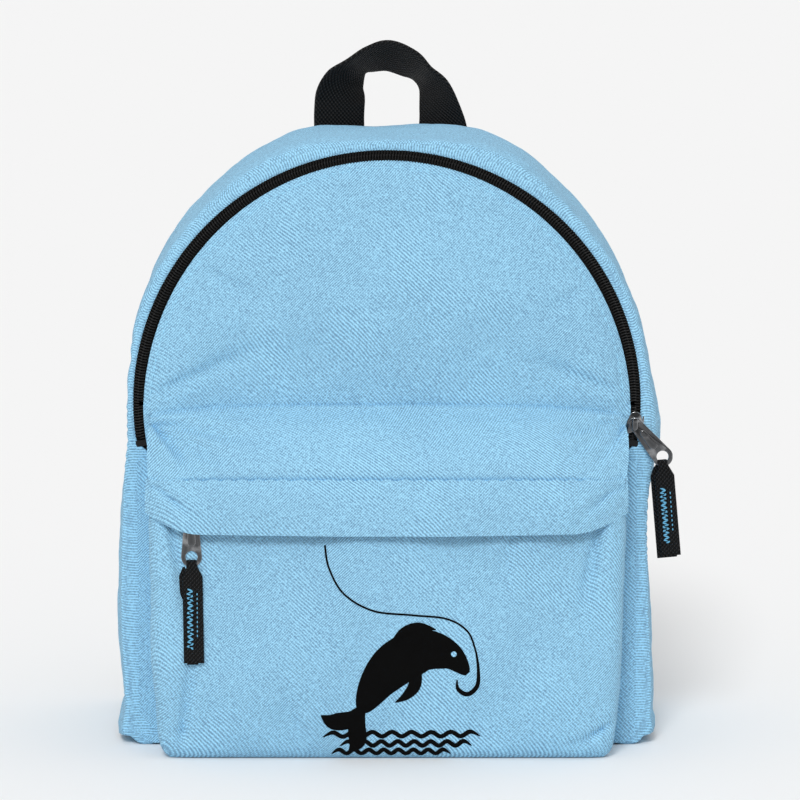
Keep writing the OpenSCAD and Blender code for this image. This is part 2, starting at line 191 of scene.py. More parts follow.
def surface(name, nu, nv, point, material, flip=False, thickness=CLOTH_T):
    """Sheet through point(u, v), with u and v from 0 to 1, thickened away from its normals."""
    verts = [point(i / nu, j / nv) for j in range(nv + 1) for i in range(nu + 1)]
    row = nu + 1
    faces = []
    for j in range(nv):
        for i in range(nu):
            quad = [j * row + i, j * row + i + 1, (j + 1) * row + i + 1, (j + 1) * row + i]
            faces.append(quad[::-1] if flip else quad)
    piece = mesh_object(name, verts, faces, material)
    return thicken(piece, thickness) if thickness else piece


def tube_faces(first, rings, sides):
    """Faces of a closed tube whose rings of vertices follow each other from vertex first on."""
    faces = []
    for r in range(rings - 1):
        a, b = first + r * sides, first + (r + 1) * sides
        for i in range(sides):
            m = (i + 1) % sides
            faces.append([a + i, a + m, b + m, b + i])
    faces.append([first + i for i in range(sides)][::-1])
    faces.append([first + (rings - 1) * sides + i for i in range(sides)])
    return faces


def sweep(name, rings, material, attributes=None):
    """Closed tube through rings of equal length."""
    verts = [p for r in rings for p in r]
    faces = tube_faces(0, len(rings), len(rings[0]))
    piece = mesh_object(name, verts, faces, material, attributes)
    fix_normals(piece)
    return piece


def fix_normals(piece, merge=False):
    work = bmesh.new()
    work.from_mesh(piece.data)
    if merge:
        bmesh.ops.remove_doubles(work, verts=work.verts, dist=0.00001)
    bmesh.ops.recalc_face_normals(work, faces=work.faces)
    work.to_mesh(piece.data)
    work.free()


def ribbon(name, centres, sides, widths, thickness, material, across_steps=6):
    """Flat strip with rounded edges. Distances along and across it are stored for the weave."""
    centres = [Vector(c) for c in centres]
    rings, along, across = [], [], []
    run = 0.0
    for k, c in enumerate(centres):
        ahead = centres[min(k + 1, len(centres) - 1)] - centres[max(k - 1, 0)]
        side = Vector(sides[k] if isinstance(sides, list) else sides)
        side = (side - side.project(ahead)).normalized()
        up = ahead.cross(side).normalized()
        half = (widths[k] if isinstance(widths, list) else widths) / 2
        t = thickness / 2
        if k:
            run += (c - centres[k - 1]).length
        offsets = [(half, 0)]
        steps = [1 - 2 * i / across_steps for i in range(across_steps + 1)]
        offsets += [(s * (half - t * 0.6), t) for s in steps]
        offsets += [(-half, 0)]
        offsets += [(-s * (half - t * 0.6), -t) for s in steps]
        rings.append([c + side * a + up * b for a, b in offsets])
        along += [run] * len(offsets)
        across += [a for a, b in offsets]
    return sweep(name, rings, material, attributes={"along": along, "across": across})


def tube(name, centres, radius, material, sides=8, flat=1.0, side=None):
    centres = [Vector(c) for c in centres]
    rings = []
    for k, c in enumerate(centres):
        ahead = (centres[min(k + 1, len(centres) - 1)] - centres[max(k - 1, 0)]).normalized()
        a = Vector(side) if side else (Vector((0, 1, 0)) if abs(ahead.y) < 0.8 else Vector((1, 0, 0)))
        a = (a - a.project(ahead)).normalized()
        b = ahead.cross(a)
        rings.append([c + a * radius * math.cos(q) + b * radius * flat * math.sin(q)
                      for q in (2 * math.pi * i / sides for i in range(sides))])
    return sweep(name, rings, material)


def join(name, pieces):
    """One object from several, in the first one's place."""
    work = bmesh.new()
    materials = []
    for p in pieces:
        part = p.data.copy()
        for m in p.data.materials:
            if m not in materials:
                materials.append(m)
        index = [materials.index(m) for m in p.data.materials]
        for poly in part.polygons:
            poly.material_index = index[poly.material_index] if index else 0
        part.transform(p.matrix_world)
        work.from_mesh(part)
        bpy.data.meshes.remove(part)
    for p in pieces[1:]:
        bpy.data.objects.remove(p)
    mesh = bpy.data.meshes.new(name)
    work.to_mesh(mesh)
    work.free()
    for m in materials:
        mesh.materials.append(m)
    pieces[0].data = mesh
    pieces[0].matrix_world = Matrix.Identity(4)
    pieces[0].name = name
    return pieces[0]


def stitches(name, path, material, length=2.6, gap=1.1, radius=0.32, lift=0.18):
    """Row of thread stitches along a path of (point, outward normal)."""
    distances = [0.0]
    for k in range(1, len(path)):
        distances.append(distances[-1] + (path[k][0] - path[k - 1][0]).length)

    def at(d):
        d = clamp(d, 0, distances[-1])
        k = next((i for i in range(1, len(distances)) if distances[i] >= d), len(distances) - 1)
        f = (d - distances[k - 1]) / max(distances[k] - distances[k - 1], 1e-6)
        return path[k - 1][0].lerp(path[k][0], f), path[k - 1][1].lerp(path[k][1], f)

    verts, faces = [], []
    sides, rings = 6, 5
    start = gap
    while start + length < distances[-1]:
        first = len(verts)
        for r in range(rings):
            f = r / (rings - 1)
            c, n = at(start + f * length)
            ahead = at(start + f * length + 0.3)[0] - at(start + f * length - 0.3)[0]
            b = ahead.cross(n).normalized()
            arch = math.sin(math.pi * f)
            c = c + n * (lift * arch - 0.05)
            w = radius * (0.35 + 0.65 * arch ** 0.5)
            verts += [c + (b * math.cos(q) + n * math.sin(q)) * w
                      for q in (2 * math.pi * i / sides for i in range(sides))]
        faces += tube_faces(first, rings, sides)
        start += length + gap
    piece = mesh_object(name, verts, faces, material)
    fix_normals(piece)
    return piece


def on_surface(point, uvs, outward):
    """Points and outward normals of point(u, v) along a list of (u, v)."""
    out = []
    e = 0.002
    for u, v in uvs:
        p = Vector(point(u, v))
        du = Vector(point(min(u + e, 1), v)) - Vector(point(max(u - e, 0), v))
        dv = Vector(point(u, min(v + e, 1))) - Vector(point(u, max(v - e, 0)))
        n = du.cross(dv).normalized()
        if n.dot(Vector(outward)) < 0:
            n = -n
        out.append((p, n))
    return out


# ---------------------------------------------------------------- materials

def new_material(name):
    material = bpy.data.materials.new(name)
    material.use_nodes = True
    nodes = material.node_tree.nodes
    return material, nodes, material.node_tree.links, nodes["Principled BSDF"]


def math_node(nodes, links, op, a, b=None, clamp_it=False):
    n = nodes.new("ShaderNodeMath")
    n.operation = op
    n.use_clamp = clamp_it
    for i, value in enumerate((a, b)):
        if value is None:
            continue
        if isinstance(value, (int, float)):
            n.inputs[i].default_value = value
        else:
            links.new(value, n.inputs[i])
    return n.outputs[0]


def wave_along(nodes, links, coordinates, direction, pitch):
    """Sine of the distance along a direction, once every pitch in millimetres."""
    d = Vector(direction) * 2 * math.pi / (pitch * MM) / Vector(direction).length
    dot = nodes.new("ShaderNodeVectorMath")
    dot.operation = "DOT_PRODUCT"
    links.new(coordinates, dot.inputs[0])
    dot.inputs[1].default_value = d
    return math_node(nodes, links, "SINE", dot.outputs["Value"])


def noise_node(nodes, links, coordinates, scale, detail=2.0):
    n = nodes.new("ShaderNodeTexNoise")
    n.inputs["Scale"].default_value = scale
    n.inputs["Detail"].default_value = detail
    links.new(coordinates, n.inputs["Vector"])
    return n.outputs["Fac"]


def colour_ramp(nodes, links, value, dark, light):
    ramp = nodes.new("ShaderNodeValToRGB")
    ramp.color_ramp.elements[0].color = (*dark, 1)
    ramp.color_ramp.elements[1].color = (*light, 1)
    links.new(value, ramp.inputs[0])
    return ramp.outputs[0]


def bump_node(nodes, links, height, distance, strength, shader):
    b = nodes.new("ShaderNodeBump")
    b.inputs["Distance"].default_value = distance * MM
    b.inputs["Strength"].default_value = strength
    links.new(height, b.inputs["Height"])
    links.new(b.outputs[0], shader.inputs["Normal"])


def arch_run(nodes, links, coordinates):
    """Position (distance round the arch, depth, 0) for cloth that runs round the shell."""
    split = nodes.new("ShaderNodeSeparateXYZ")
    links.new(coordinates, split.inputs[0])
    x, y, z = split.outputs
    rise = math_node(nodes, links, "SUBTRACT", z, ARCH_Z * MM)
    up = math_node(nodes, links, "MAXIMUM", rise, 0.0)
    down = math_node(nodes, links, "MINIMUM", rise, 0.0)
    angle = math_node(nodes, links, "ARCTAN2", up, math_node(nodes, links, "ABSOLUTE", x))
    run = math_node(nodes, links, "ADD", math_node(nodes, links, "MULTIPLY", angle, BODY_R * MM), down)
    pair = nodes.new("ShaderNodeCombineXYZ")
    links.new(run, pair.inputs[0])
    links.new(y, pair.inputs[1])
    return pair.outputs[0]


def cloth_material(name, colour, ribs, round_arch=False, contrast=2.7, pitch=1.3, roughness=0.85, sheen=0.05):
    """Woven polyester: raised dots where two diagonal sets of threads cross, one set stronger than the other
    in slowly drifting patches, with a slightly uneven thread. Its colour follows the weave's height as painted
    light and shade, lighter on the raised dots and darker in the hollows between them, with random patches of
    tone."""
    material, nodes, links, shader = new_material(name)
    coordinates = nodes.new("ShaderNodeTexCoord").outputs["Object"]
    wobble = nodes.new("ShaderNodeTexNoise")
    wobble.inputs["Scale"].default_value = 60.0
    links.new(coordinates, wobble.inputs["Vector"])
    bend = nodes.new("ShaderNodeVectorMath")
    bend.operation = "MULTIPLY_ADD"
    links.new(wobble.outputs["Color"], bend.inputs[0])
    bend.inputs[1].default_value = (0.0012, 0.0012, 0.0012)
    links.new(coordinates, bend.inputs[2])
    bent = arch_run(nodes, links, bend.outputs[0]) if round_arch else bend.outputs[0]
    rib_a, rib_b = (wave_along(nodes, links, bent, rib, pitch / 2 * Vector(rib).length) for rib in ribs)
    drift = math_node(nodes, links, "MULTIPLY_ADD", noise_node(nodes, links, coordinates, 30.0, 1.0), 2.4)
    drift.node.inputs[2].default_value = -0.7
    drift.node.use_clamp = True
    part_a = math_node(nodes, links, "MULTIPLY", rib_a, drift)
    part_b = math_node(nodes, links, "MULTIPLY", rib_b, math_node(nodes, links, "SUBTRACT", 1.0, drift))
    crossed = math_node(nodes, links, "MULTIPLY", math_node(nodes, links, "MULTIPLY", rib_a, rib_b), 0.5)
    rib = math_node(nodes, links, "ADD", math_node(nodes, links, "ADD", part_a, part_b), crossed)
    thread = noise_node(nodes, links, coordinates, 1100.0, 2.0)
    height = math_node(nodes, links, "ADD", math_node(nodes, links, "MULTIPLY", rib, 0.30),
                       math_node(nodes, links, "MULTIPLY", thread, 1.1))
    patch = noise_node(nodes, links, coordinates, 14.0, 3.0)
    # Painted light and shade: the colour follows the weave's height, darker in the hollows and lighter on the
    # raised dots; the patch noise adds random tone.
    tone = math_node(nodes, links, "MULTIPLY", height, contrast * 0.62)
    tone = math_node(nodes, links, "ADD", tone, math_node(nodes, links, "MULTIPLY", patch, 0.25))
    tone = math_node(nodes, links, "ADD", tone, 0.5 - contrast * 0.341 - 0.125, True)
    dark = tuple(c * 0.50 for c in colour)
    light = tuple(min(1.0, c * 1.18) for c in colour)
    links.new(colour_ramp(nodes, links, tone, dark, light), shader.inputs["Base Color"])
    shader.inputs["Roughness"].default_value = roughness
    shader.inputs["Specular IOR Level"].default_value = 0.2
    shader.inputs["Sheen Weight"].default_value = sheen
    bump_node(nodes, links, height, 0.4, 0.6, shader)
    return material


def webbing_material(name, colour, rib=1.9, row=2.1, contrast=2.6):
    """Ribbed webbing: rows of raised dots across the strip, from the distances stored on it. Its colour follows
    their height, lighter on the raised dots as a painted highlight and darker between them as painted shade.
    """
    material, nodes, links, shader = new_material(name)

    def stored(key, pitch):
        a = nodes.new("ShaderNodeAttribute")
        a.attribute_name = key
        return math_node(nodes, links, "MULTIPLY", a.outputs["Fac"], 2 * math.pi / pitch)

    along = stored("along", row)
    across = stored("across", rib)
    dots = math_node(nodes, links, "MULTIPLY", math_node(nodes, links, "SINE", along),
                     math_node(nodes, links, "COSINE", across))
    fine = math_node(nodes, links, "SINE", math_node(nodes, links, "ADD", along, across))
    height = math_node(nodes, links, "ADD", dots, math_node(nodes, links, "MULTIPLY", fine, 0.5))
    coordinates = nodes.new("ShaderNodeTexCoord").outputs["Object"]
    fluff = noise_node(nodes, links, coordinates, 1800.0, 2.0)
    height = math_node(nodes, links, "ADD", height, fluff)
    # Painted highlight and shade: the colour follows the height, lighter on the raised dots, darker between
    # them.
    tone = math_node(nodes, links, "MULTIPLY", height, 0.33, True)
    light = tuple(c * contrast + 0.040 for c in colour)
    tone = math_node(nodes, links, "POWER", tone, 1.7)
    ramp = colour_ramp(nodes, links, tone, tuple(c * 0.5 for c in colour), light)
    links.new(ramp, shader.inputs["Base Color"])
    shader.inputs["Roughness"].default_value = 0.6
    shader.inputs["Specular IOR Level"].default_value = 0.18
    bump_node(nodes, links, height, 0.35, 0.8, shader)
    return material


def plain_material(name, colour, roughness, grain=900.0, depth=0.05, spread=0.15, specular=0.5):
    """Even material with fine grain in its colour, gloss and surface."""
    material, nodes, links, shader = new_material(name)
    coordinates = nodes.new("ShaderNodeTexCoord").outputs["Object"]
    fine = noise_node(nodes, links, coordinates, grain, 3.0)
    broad = noise_node(nodes, links, coordinates, grain / 15, 2.0)
    tone = math_node(nodes, links, "MULTIPLY", math_node(nodes, links, "ADD", fine, broad), 0.5)
    dark = tuple(c * (1 - spread) for c in colour)
    light = tuple(min(1, c * (1 + spread)) for c in colour)
    links.new(colour_ramp(nodes, links, tone, dark, light), shader.inputs["Base Color"])
    gloss = math_node(nodes, links, "MULTIPLY_ADD", broad, 0.2)
    gloss.node.inputs[2].default_value = roughness - 0.1
    links.new(gloss, shader.inputs["Roughness"])
    shader.inputs["Specular IOR Level"].default_value = specular
    bump_node(nodes, links, fine, depth, 0.5, shader)
    return material


def metal_with_painted_highlights(name, face, edge):
    """Polished plate: dark on its flat faces, with a painted highlight that brightens the colour where the
    rounded edges turn away from the front and back, and painted reflections as bright blotches.
    """
    material, nodes, links, shader = new_material(name)
    place = nodes.new("ShaderNodeTexCoord")
    facing = nodes.new("ShaderNodeVectorMath")
    facing.operation = "DOT_PRODUCT"
    links.new(place.outputs["Normal"], facing.inputs[0])
    facing.inputs[1].default_value = (0, 1, 0)
    # Painted highlight: the colour turns brighter as the surface turns away from the front and back.
    flat = math_node(nodes, links, "ABSOLUTE", facing.outputs["Value"])
    painted_edge_highlight = math_node(nodes, links, "POWER", math_node(nodes, links, "SUBTRACT", 1.0, flat, True), 0.6)
    # Painted reflections: bright blotches of noise in the colour.
    painted_reflection_blot = noise_node(nodes, links, place.outputs["Object"], 170.0, 3.0)
    painted_reflection_blot = math_node(nodes, links, "MULTIPLY_ADD", painted_reflection_blot, 4.0)
    painted_reflection_blot.node.inputs[2].default_value = -2.1
    painted_reflection_blot.node.use_clamp = True
    tone = math_node(nodes, links, "ADD", math_node(nodes, links, "MULTIPLY", painted_edge_highlight, 0.9),
                     math_node(nodes, links, "MULTIPLY", painted_reflection_blot, 0.42), True)
    links.new(colour_ramp(nodes, links, tone, face, edge), shader.inputs["Base Color"])
    shader.inputs["Metallic"].default_value = 1.0
    shader.inputs["Roughness"].default_value = 0.14
    scratch = noise_node(nodes, links, place.outputs["Object"], 900.0, 3.0)
    bump_node(nodes, links, scratch, 0.02, 0.4, shader)
    return material


BLUE = (0.330, 0.640, 0.955)
BLACK = (0.0045, 0.0045, 0.005)
FLAT_RIBS = ((1, 1.05, 1), (1, 0.15, -1))
ROUND_RIBS = ((1, 1, 0), (1, -1, 0))
front_cloth = cloth_material("front_cloth", BLUE, FLAT_RIBS)
gusset_cloth = cloth_material("gusset_cloth", BLUE, ROUND_RIBS, True)
lining_cloth = cloth_material("lining_cloth", tuple(c * 0.8 for c in BLUE), FLAT_RIBS, contrast=0.4, pitch=0.9,
                              roughness=0.6, sheen=0.0)
mesh_cloth = cloth_material("strap_mesh", (0.02, 0.02, 0.022), FLAT_RIBS, False, 1.0, 2.2, 0.9, 0.1)
web_cloth = webbing_material("webbing", BLACK)
tape_cloth = webbing_material("zip_tape", (0.004, 0.004, 0.004), 0.9, 0.9, 1.8)
coil_nylon = plain_material("zip_coil", (0.006, 0.006, 0.006), 0.45, grain=2500.0, specular=0.25)
blue_thread = plain_material("blue_thread", tuple(min(1, c * 1.12) for c in BLUE), 0.7,
                             grain=3000.0, depth=0.04)
black_thread = plain_material("black_thread", (0.02, 0.02, 0.02), 0.7, grain=3000.0, depth=0.04)
pale_thread = plain_material("pale_thread", (0.14, 0.44, 0.66), 0.6, grain=3000.0, depth=0.04)
# Dark nickel; the second colour is the painted highlight and painted reflection colour.
nickel_painted_highlights = metal_with_painted_highlights("dark_nickel_painted_highlights", (0.075, 0.078, 0.082), (0.85, 0.86, 0.88))
acetal = plain_material("black_acetal", (0.018, 0.018, 0.019), 0.45, grain=1600.0, depth=0.03)
foam = plain_material("foam", (0.6, 0.6, 0.58), 0.95, grain=1200.0, depth=0.2)
ink = plain_material("black_ink", (0.0015, 0.0015, 0.0015), 0.9, grain=1500.0, depth=0.08,
                     spread=0.3, specular=0.1)


# ---------------------------------------------------------------- main shell

SIDE_TOP = ARCH_Z - CORNER_R
BOTTOM_HALF = BODY_R - CORNER_R


def outline(s):
    """Point and outward normal on the shell's front outline. s is 0 to 1 round the arch from right to left,
    -1 to 0 up the right side, 1 to 2 down the left side and 2 to 3 across the bottom from left to right."""
    if s < 0:
        return BODY_R, CORNER_R + (s + 1) * SIDE_TOP, 1.0, 0.0
    if s <= 1:
        a = math.pi * s
        return BODY_R * math.cos(a), ARCH_Z + BODY_R * math.sin(a), math.cos(a), math.sin(a)
    if s <= 2:
        return -BODY_R, ARCH_Z - (s - 1) * SIDE_TOP, -1.0, 0.0
    quarter = math.pi / 2 * CORNER_R
    run = (s - 2) * (2 * quarter + 2 * BOTTOM_HALF)
    if run < quarter:
        a = math.pi + run / CORNER_R
        return -BOTTOM_HALF + CORNER_R * math.cos(a), CORNER_R * (1 + math.sin(a)), math.cos(a), math.sin(a)
    if run < quarter + 2 * BOTTOM_HALF:
        return -BOTTOM_HALF + run - quarter, 0.0, 0.0, -1.0
    a = -math.pi / 2 + (run - quarter - 2 * BOTTOM_HALF) / CORNER_R
    return BOTTOM_HALF + CORNER_R * math.cos(a), CORNER_R * (1 + math.sin(a)), math.cos(a), math.sin(a)


def shell_fullness(x, y, z, nx, nz):
    """How far the shell stands out: fuller at the shoulders and the base, narrower at the waist."""
    depth = clamp((y - FRONT_Y) / (BACK_Y - FRONT_Y))
    middle = math.sin(math.pi * clamp(depth, 0.02, 0.98)) ** 0.7
    side = abs(nx) if nz > -0.5 else 0.0
    if x < 0:
        out = side * (3.4 * bump(z, 72, 52) + 3.6 * bump(z, 0, 12) - 3.4 * bump(z, 166, 28))
    else:
        out = side * (2.8 * bump(z, 22, 34) - 0.8 * bump(z, 104, 30) + 4.4 * bump(z, 152, 20))
    slope = math.degrees(math.atan2(nz, abs(nx)))
    out += (3.6 if x < 0 else 4.6) * bump(slope, 66, 16)
    out += 1.8 * smooth(slope, 5, 22) * (1 - smooth(slope, 70, 88))
    if nz < 0:
        out += 8.4 * abs(nx * nz)
    out += 1.8 * middle * (1 if nz > -0.5 else -1.6)
    out -= max(nz, 0.0) ** 8 * 1.2 * depth
    if nz < -0.5:
        out -= 0.6
    return out


def shell_wrinkle(x, y, z, nz):
    calm = 0.25 if nz < -0.5 else 1.0
    w = 1.5 * rough(x, y * 0.45, z, 34, 3.1) + 0.7 * rough(x, y, z, 15, 8.2)
    w += 0.35 * rough(x, y, z, 7, 5.5)
    front = bump(y, FRONT_Y + 14, 22)
    if x > 0:
        w += front * (fold(y, z, -50, 158, -30, 176, 3.0, -1.8) + fold(y, z, -52, 140, -26, 128, 3.0, -2.2))
    else:
        w += front * (fold(y, z, -52, 146, -28, 132, 3.0, -2.2) + fold(y, z, -52, 60, -30, 84, 4.0, -1.4))
    return calm * w


def lip_width(z):
    """How far the shell's front edge turns in towards the zip, or towards the lower panel's seam."""
    if z >= ARCH_Z:
        return BODY_R - ZIP_R - LIP
    edge = math.sqrt(max((ZIP_R + LIP) ** 2 - (ARCH_Z - z) ** 2, 0))
    target = BODY_R - edge
    deep = BODY_R - (ZIP_R - LIP - 1.5) * math.cos(math.radians(ZIP_END))
    return deep + (target - deep) * smooth(z, ARCH_Z - 27, ARCH_Z - 17)


def shell_section(t, lip):
    """Distance out from the outline and Y, at t from the hidden front edge to the hidden back edge."""
    f, b = FRONT_Y, BACK_Y
    points = [(-lip + 0.5, f + 1.3), (-lip, f + 0.6), (-lip + 0.5, f + 0.1), (-lip * 0.5, f - 0.35),
              (-0.9, f + 0.2), (0.0, f + 1.9), (0.2, f + 6)]
    points += [(0.2, f + 6 + (b - f - 12) * k / 12) for k in range(1, 12)]
    points += [(0.2, b - 6), (0.0, b - 2), (-0.9, b + 0.1), (-2.6, b + 0.9), (-4.2, b + 0.6), (-4.6, b - 0.6)]
    return spline(points, t)


def shell_point(s, t):
    x, z, nx, nz = outline(s)
    out, y = shell_section(t, lip_width(z))
    inner = clamp((-out) / 3.0)
    y_full = clamp((y - FRONT_Y - 2) / 8) * clamp((BACK_Y - 2 - y) / 8)
    full = shell_fullness(x, y, z, nx, nz)
    edge = shell_fullness(x, FRONT_Y if y < 0 else BACK_Y, z, nx, nz)
    if y < 0:
        edge = max(edge * 0.75, -1.0) * (1 - inner)
    out += edge * (1 - y_full) * (1 - 0.6 * inner) + full * y_full
    out += shell_wrinkle(x, y, z, nz) * (0.15 + 0.85 * y_full) * (1 - inner)
    pucker = 0.30 * math.sin(s * 190 + 3 * rough(x, y, z, 20, 1.7)) * (1 - y_full) * (1 - inner)
    p = Vector((x + nx * (out + pucker), y, z + nz * (out + pucker)))
    p.z = max(p.z, 0.3)
    return p


def make_shell():
    parts = [("top_gusset_cloth", "top_gusset", 0.0, 1.0, 220),
             ("side_gusset_right_cloth", "side_gusset_right", -1.0, 0.0, 84),
             ("side_gusset_left_cloth", "side_gusset_left", 1.0, 2.0, 84),
             ("bottom_cloth", "bottom_panel", 2.0, 3.0, 110)]
    for name, node, s0, s1, steps in parts:
        piece = surface(name, steps, 84, lambda u, v: shell_point(s0 + (s1 - s0) * u, v), gusset_cloth,
                        flip=True)
        declare(piece, "bag", "shell_cloth", node)
    for name, inset in (("rear_seam_binding_tape", BACK_Y - 7), ("front_seam_binding_tape", FRONT_Y + 7)):
        node = name[:-5]
        ring = []
        for k in range(241):
            s = -1 + 4 * k / 240
            x, z, nx, nz = outline(s)
            if "front" in name and z > ARCH_Z - 30:
                continue
            f = shell_fullness(x, inset, z, nx, nz) - 2.2
            ring.append((s, Vector((x + nx * f, inset, max(z + nz * f, 1.6)))))
        if "front" in name:
            ring.sort(key=lambda a: (a[0] - 1) % 4)
        points = [p for _, p in ring]
        strip = ribbon(name, points, (0, 1, 0), 9.0, 1.0, tape_cloth, 2)
        declare(strip, "bag", "binding", node)


# ---------------------------------------------------------------- back

def back_height(z):
    """Half width of the back panel at a height."""
    if z > ARCH_Z:
        return math.sqrt(max(BODY_R ** 2 - (z - ARCH_Z) ** 2, 0))
    if z < CORNER_R:
        return BOTTOM_HALF + math.sqrt(max(CORNER_R ** 2 - (CORNER_R - z) ** 2, 0))
    return BODY_R


def disc_map(u, v, full=True):
    """Square to disc, keeping a regular grid: returns x and z from -1 to 1."""
    a = 2 * u - 1
    b = 2 * v - 1 if full else v
    return a * math.sqrt(1 - b * b / 2), b * math.sqrt(1 - a * a / 2)


def panel_outline_point(u, v, inset, shrink_top=0.0):
    """Grid point inside the shell's outline: straight rows below the arch, arched rows above it."""
    split = 0.52
    r = BODY_R - inset
    if v <= split:
        z = inset + (ARCH_Z - inset) * v / split
        c = CORNER_R - inset
        half = r
        if z < CORNER_R:
            half = r - c + math.sqrt(max(c * c - (CORNER_R - z) ** 2, 0))
        return (2 * u - 1) * half, z
    a, b = disc_map(u, (v - split) / (1 - split), False)
    flat = shrink_top * clamp(b) ** 4
    return a * r, ARCH_Z + b * (r - flat)


def back_point(u, v):
    x, z = panel_outline_point(u, v, 1.2, 0.6)
    r = math.hypot(x, max(z - ARCH_Z, 0)) / BODY_R if z > ARCH_Z else abs(x) / BODY_R
    edge = smooth(1 - max(r, 1 - z / 40 if z < 40 else 0), 0.02, 0.22)
    y = BACK_Y + 0.2 + 0.9 * edge + 0.25 * edge * rough(x, 0, z, 30, 2.2)
    return Vector((x, y, z))


def make_back():
    panel = surface("back_cloth", 90, 100, back_point, front_cloth, flip=True)
    declare(panel, "bag", "shell_cloth", "back_panel")
    lining_y = low("back_lining").y

    def lining_point(u, v):
        x, z = panel_outline_point(u, v, 4.0, 0.5)
        return Vector((x, lining_y + 0.8 * rough(x, 3, z, 26, 4.4) + 0.6, z))

    lining = surface("back_lining_cloth", 60, 70, lining_point, lining_cloth)
    declare(lining, "bag", "lining_cloth", "back_lining")

    def foam_point(u, v):
        x, z = panel_outline_point(u, v, 8.0, 0.0)
        return Vector((x, low("back_foam").y + 0.4, z))

    board = surface("back_foam_sheet", 50, 60, foam_point, foam, thickness=3.2)
    declare(board, "bag", "foam", "back_foam")


# ---------------------------------------------------------------- front panel

FLAP_R = ZIP_R - LIP


def panel_bulge(x, z):
    """How far the front panel stands out from the zip's plane."""
    q = math.hypot(x, (z - ARCH_Z)) / FLAP_R
    rise = (1 - clamp(q) ** 2.6)
    near_seam = 0.45 + 0.55 * smooth(z, ARCH_Z - 2, ARCH_Z + 50)
    full = 8.5 * rise * near_seam
    full += 3.0 * bump(z, ARCH_Z + 14, 20) * bump(abs(x), 100, 14) * rise ** 0.6
    wave = 2.0 * rough(x, 0, z, 46, 7.7) + 0.9 * rough(x * 0.7, 0, z, 19, 2.9) + 0.22 * rough(x, 0, z, 8, 9.9)
    wave += fold(x, z, -106, 172, -52, 196, 4.5, -2.2) + fold(x, z, 106, 172, 60, 190, 4.5, -2.0)
    wave += fold(x, z, -90, 232, -58, 214, 3.2, -1.6) + fold(x, z, 96, 224, 70, 204, 3.2, -1.4)
    wave += fold(x, z, -46, 274, -52, 240, 3.0, -1.0) + fold(x, z, 40, 276, 34, 246, 3.4, -1.0)
    return full + wave * clamp(rise * 3)


def flap_point(u, v):
    a, b = disc_map(u, v, False)
    drop = 5.0
    z0 = ARCH_Z - drop
    x = a * FLAP_R
    z = z0 + b * (FLAP_R + drop)
    q = math.sqrt(a * a + b * b)
    inset = (1 - q) * FLAP_R
    roll = 0.6 * (1 - math.sqrt(1 - (1 - clamp(inset / 1.2)) ** 2))
    ripple = 0.28 * math.sin(math.atan2(b, a) * 62) * bump(inset, 6.0, 3.0)
    y = FRONT_Y - 0.1 - 1.5 * smooth(inset, 1.5, 6.5) - panel_bulge(x, z) + roll + ripple
    return Vector((x, y, z))


def lower_panel_point(u, v):
    z = 1.0 + (ARCH_Z - 1.5) * v
    if z > ARCH_Z - (ZIP_R * math.sin(math.radians(ZIP_END))) - 1:
        half = math.sqrt(FLAP_R ** 2 - (ARCH_Z - z) ** 2)
    else:
        half = (ZIP_R + LIP) * math.cos(math.radians(ZIP_END)) + 1.5
    if z < CORNER_R:
        half = min(half, back_height(z) - 2.5)
    x = (2 * u - 1) * half
    strip = smooth(abs(x), POCKET_X - 12, POCKET_X - 2)
    y = FRONT_Y - 0.2 - strip * (1.2 * math.sin(math.pi * clamp(z / 170)) + 0.7 * rough(x, 1, z, 22, 6.1))
    return Vector((x, y, z))


def make_front():
    flap = surface("front_panel_cloth", 130, 76, flap_point, front_cloth)
    stitch_row = on_surface(flap_point, arc_rows(0.972), (0, -1, 0))
    row = stitches("front_panel_stitches", stitch_row, blue_thread)
    for piece in (flap, row):
        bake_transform(piece)
    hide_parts("front_flap_panel")
    lower = surface("front_lower_cloth", 90, 60, lower_panel_point, front_cloth)
    declare(lower, "bag", "shell_cloth", "front_lower_panel")


def arc_rows(share):
    """(u, v) of points at a share of the way out to the flap's curved edge, from right to left."""
    out = []
    for k in range(241):
        a = math.pi * (0.02 + 0.96 * k / 240)
        x, y = share * math.cos(a), share * math.sin(a)
        s, d = x * x - y * y, 2 * math.sqrt(2)
        uu = 0.5 * math.sqrt(max(2 + s + d * x, 0)) - 0.5 * math.sqrt(max(2 + s - d * x, 0))
        vv = 0.5 * math.sqrt(max(2 - s + d * y, 0)) - 0.5 * math.sqrt(max(2 - s - d * y, 0))
        out.append(((uu + 1) / 2, clamp(vv)))
    return out


# ---------------------------------------------------------------- zips

def arc_point(radius, degrees, y):
    a = math.radians(degrees)
    return Vector((radius * math.cos(a), y, ARCH_Z + radius * math.sin(a)))


def zip_tape(name, radius, width, start, end, body, node):
    steps = max(4, int((end - start) / 1.2))
    points = [arc_point(radius, start + (end - start) * k / steps, ZIP_Y + 0.1) for k in range(steps + 1)]
    sides = [(p - Vector((0, p.y, ARCH_Z))).normalized() for p in points]
    tape = ribbon(name, points, sides, width, 0.5, tape_cloth, 2)
    declare(tape, body, "zip_tape", node)


def coil_teeth(name, place, first, last, pitch, phase, material):
    """Row of nylon teeth. place(distance along, distance across, height) gives a point, with across positive
    away from the teeth's heads."""
    verts, faces = [], []
    sides = 6
    profile = [(2.75, 0.30), (2.3, 0.42), (0.9, 0.42), (0.15, 0.5), (-0.35, 0.52), (-0.62, 0.3)]
    n = int((last - first) / pitch)
    for k in range(n):
        d = first + (k + phase) * pitch
        start = len(verts)
        for across, radius in profile:
            lean = 0.10 * (2.75 - across)
            for i in range(sides):
                q = 2 * math.pi * i / sides
                along = d + lean + radius * 0.82 * math.cos(q)
                verts.append(place(along, across, 0.45 + 1.1 * radius * math.sin(q)))
        faces += tube_faces(start, len(profile), sides)
    piece = mesh_object(name, verts, faces, material)
    fix_normals(piece)
    return piece


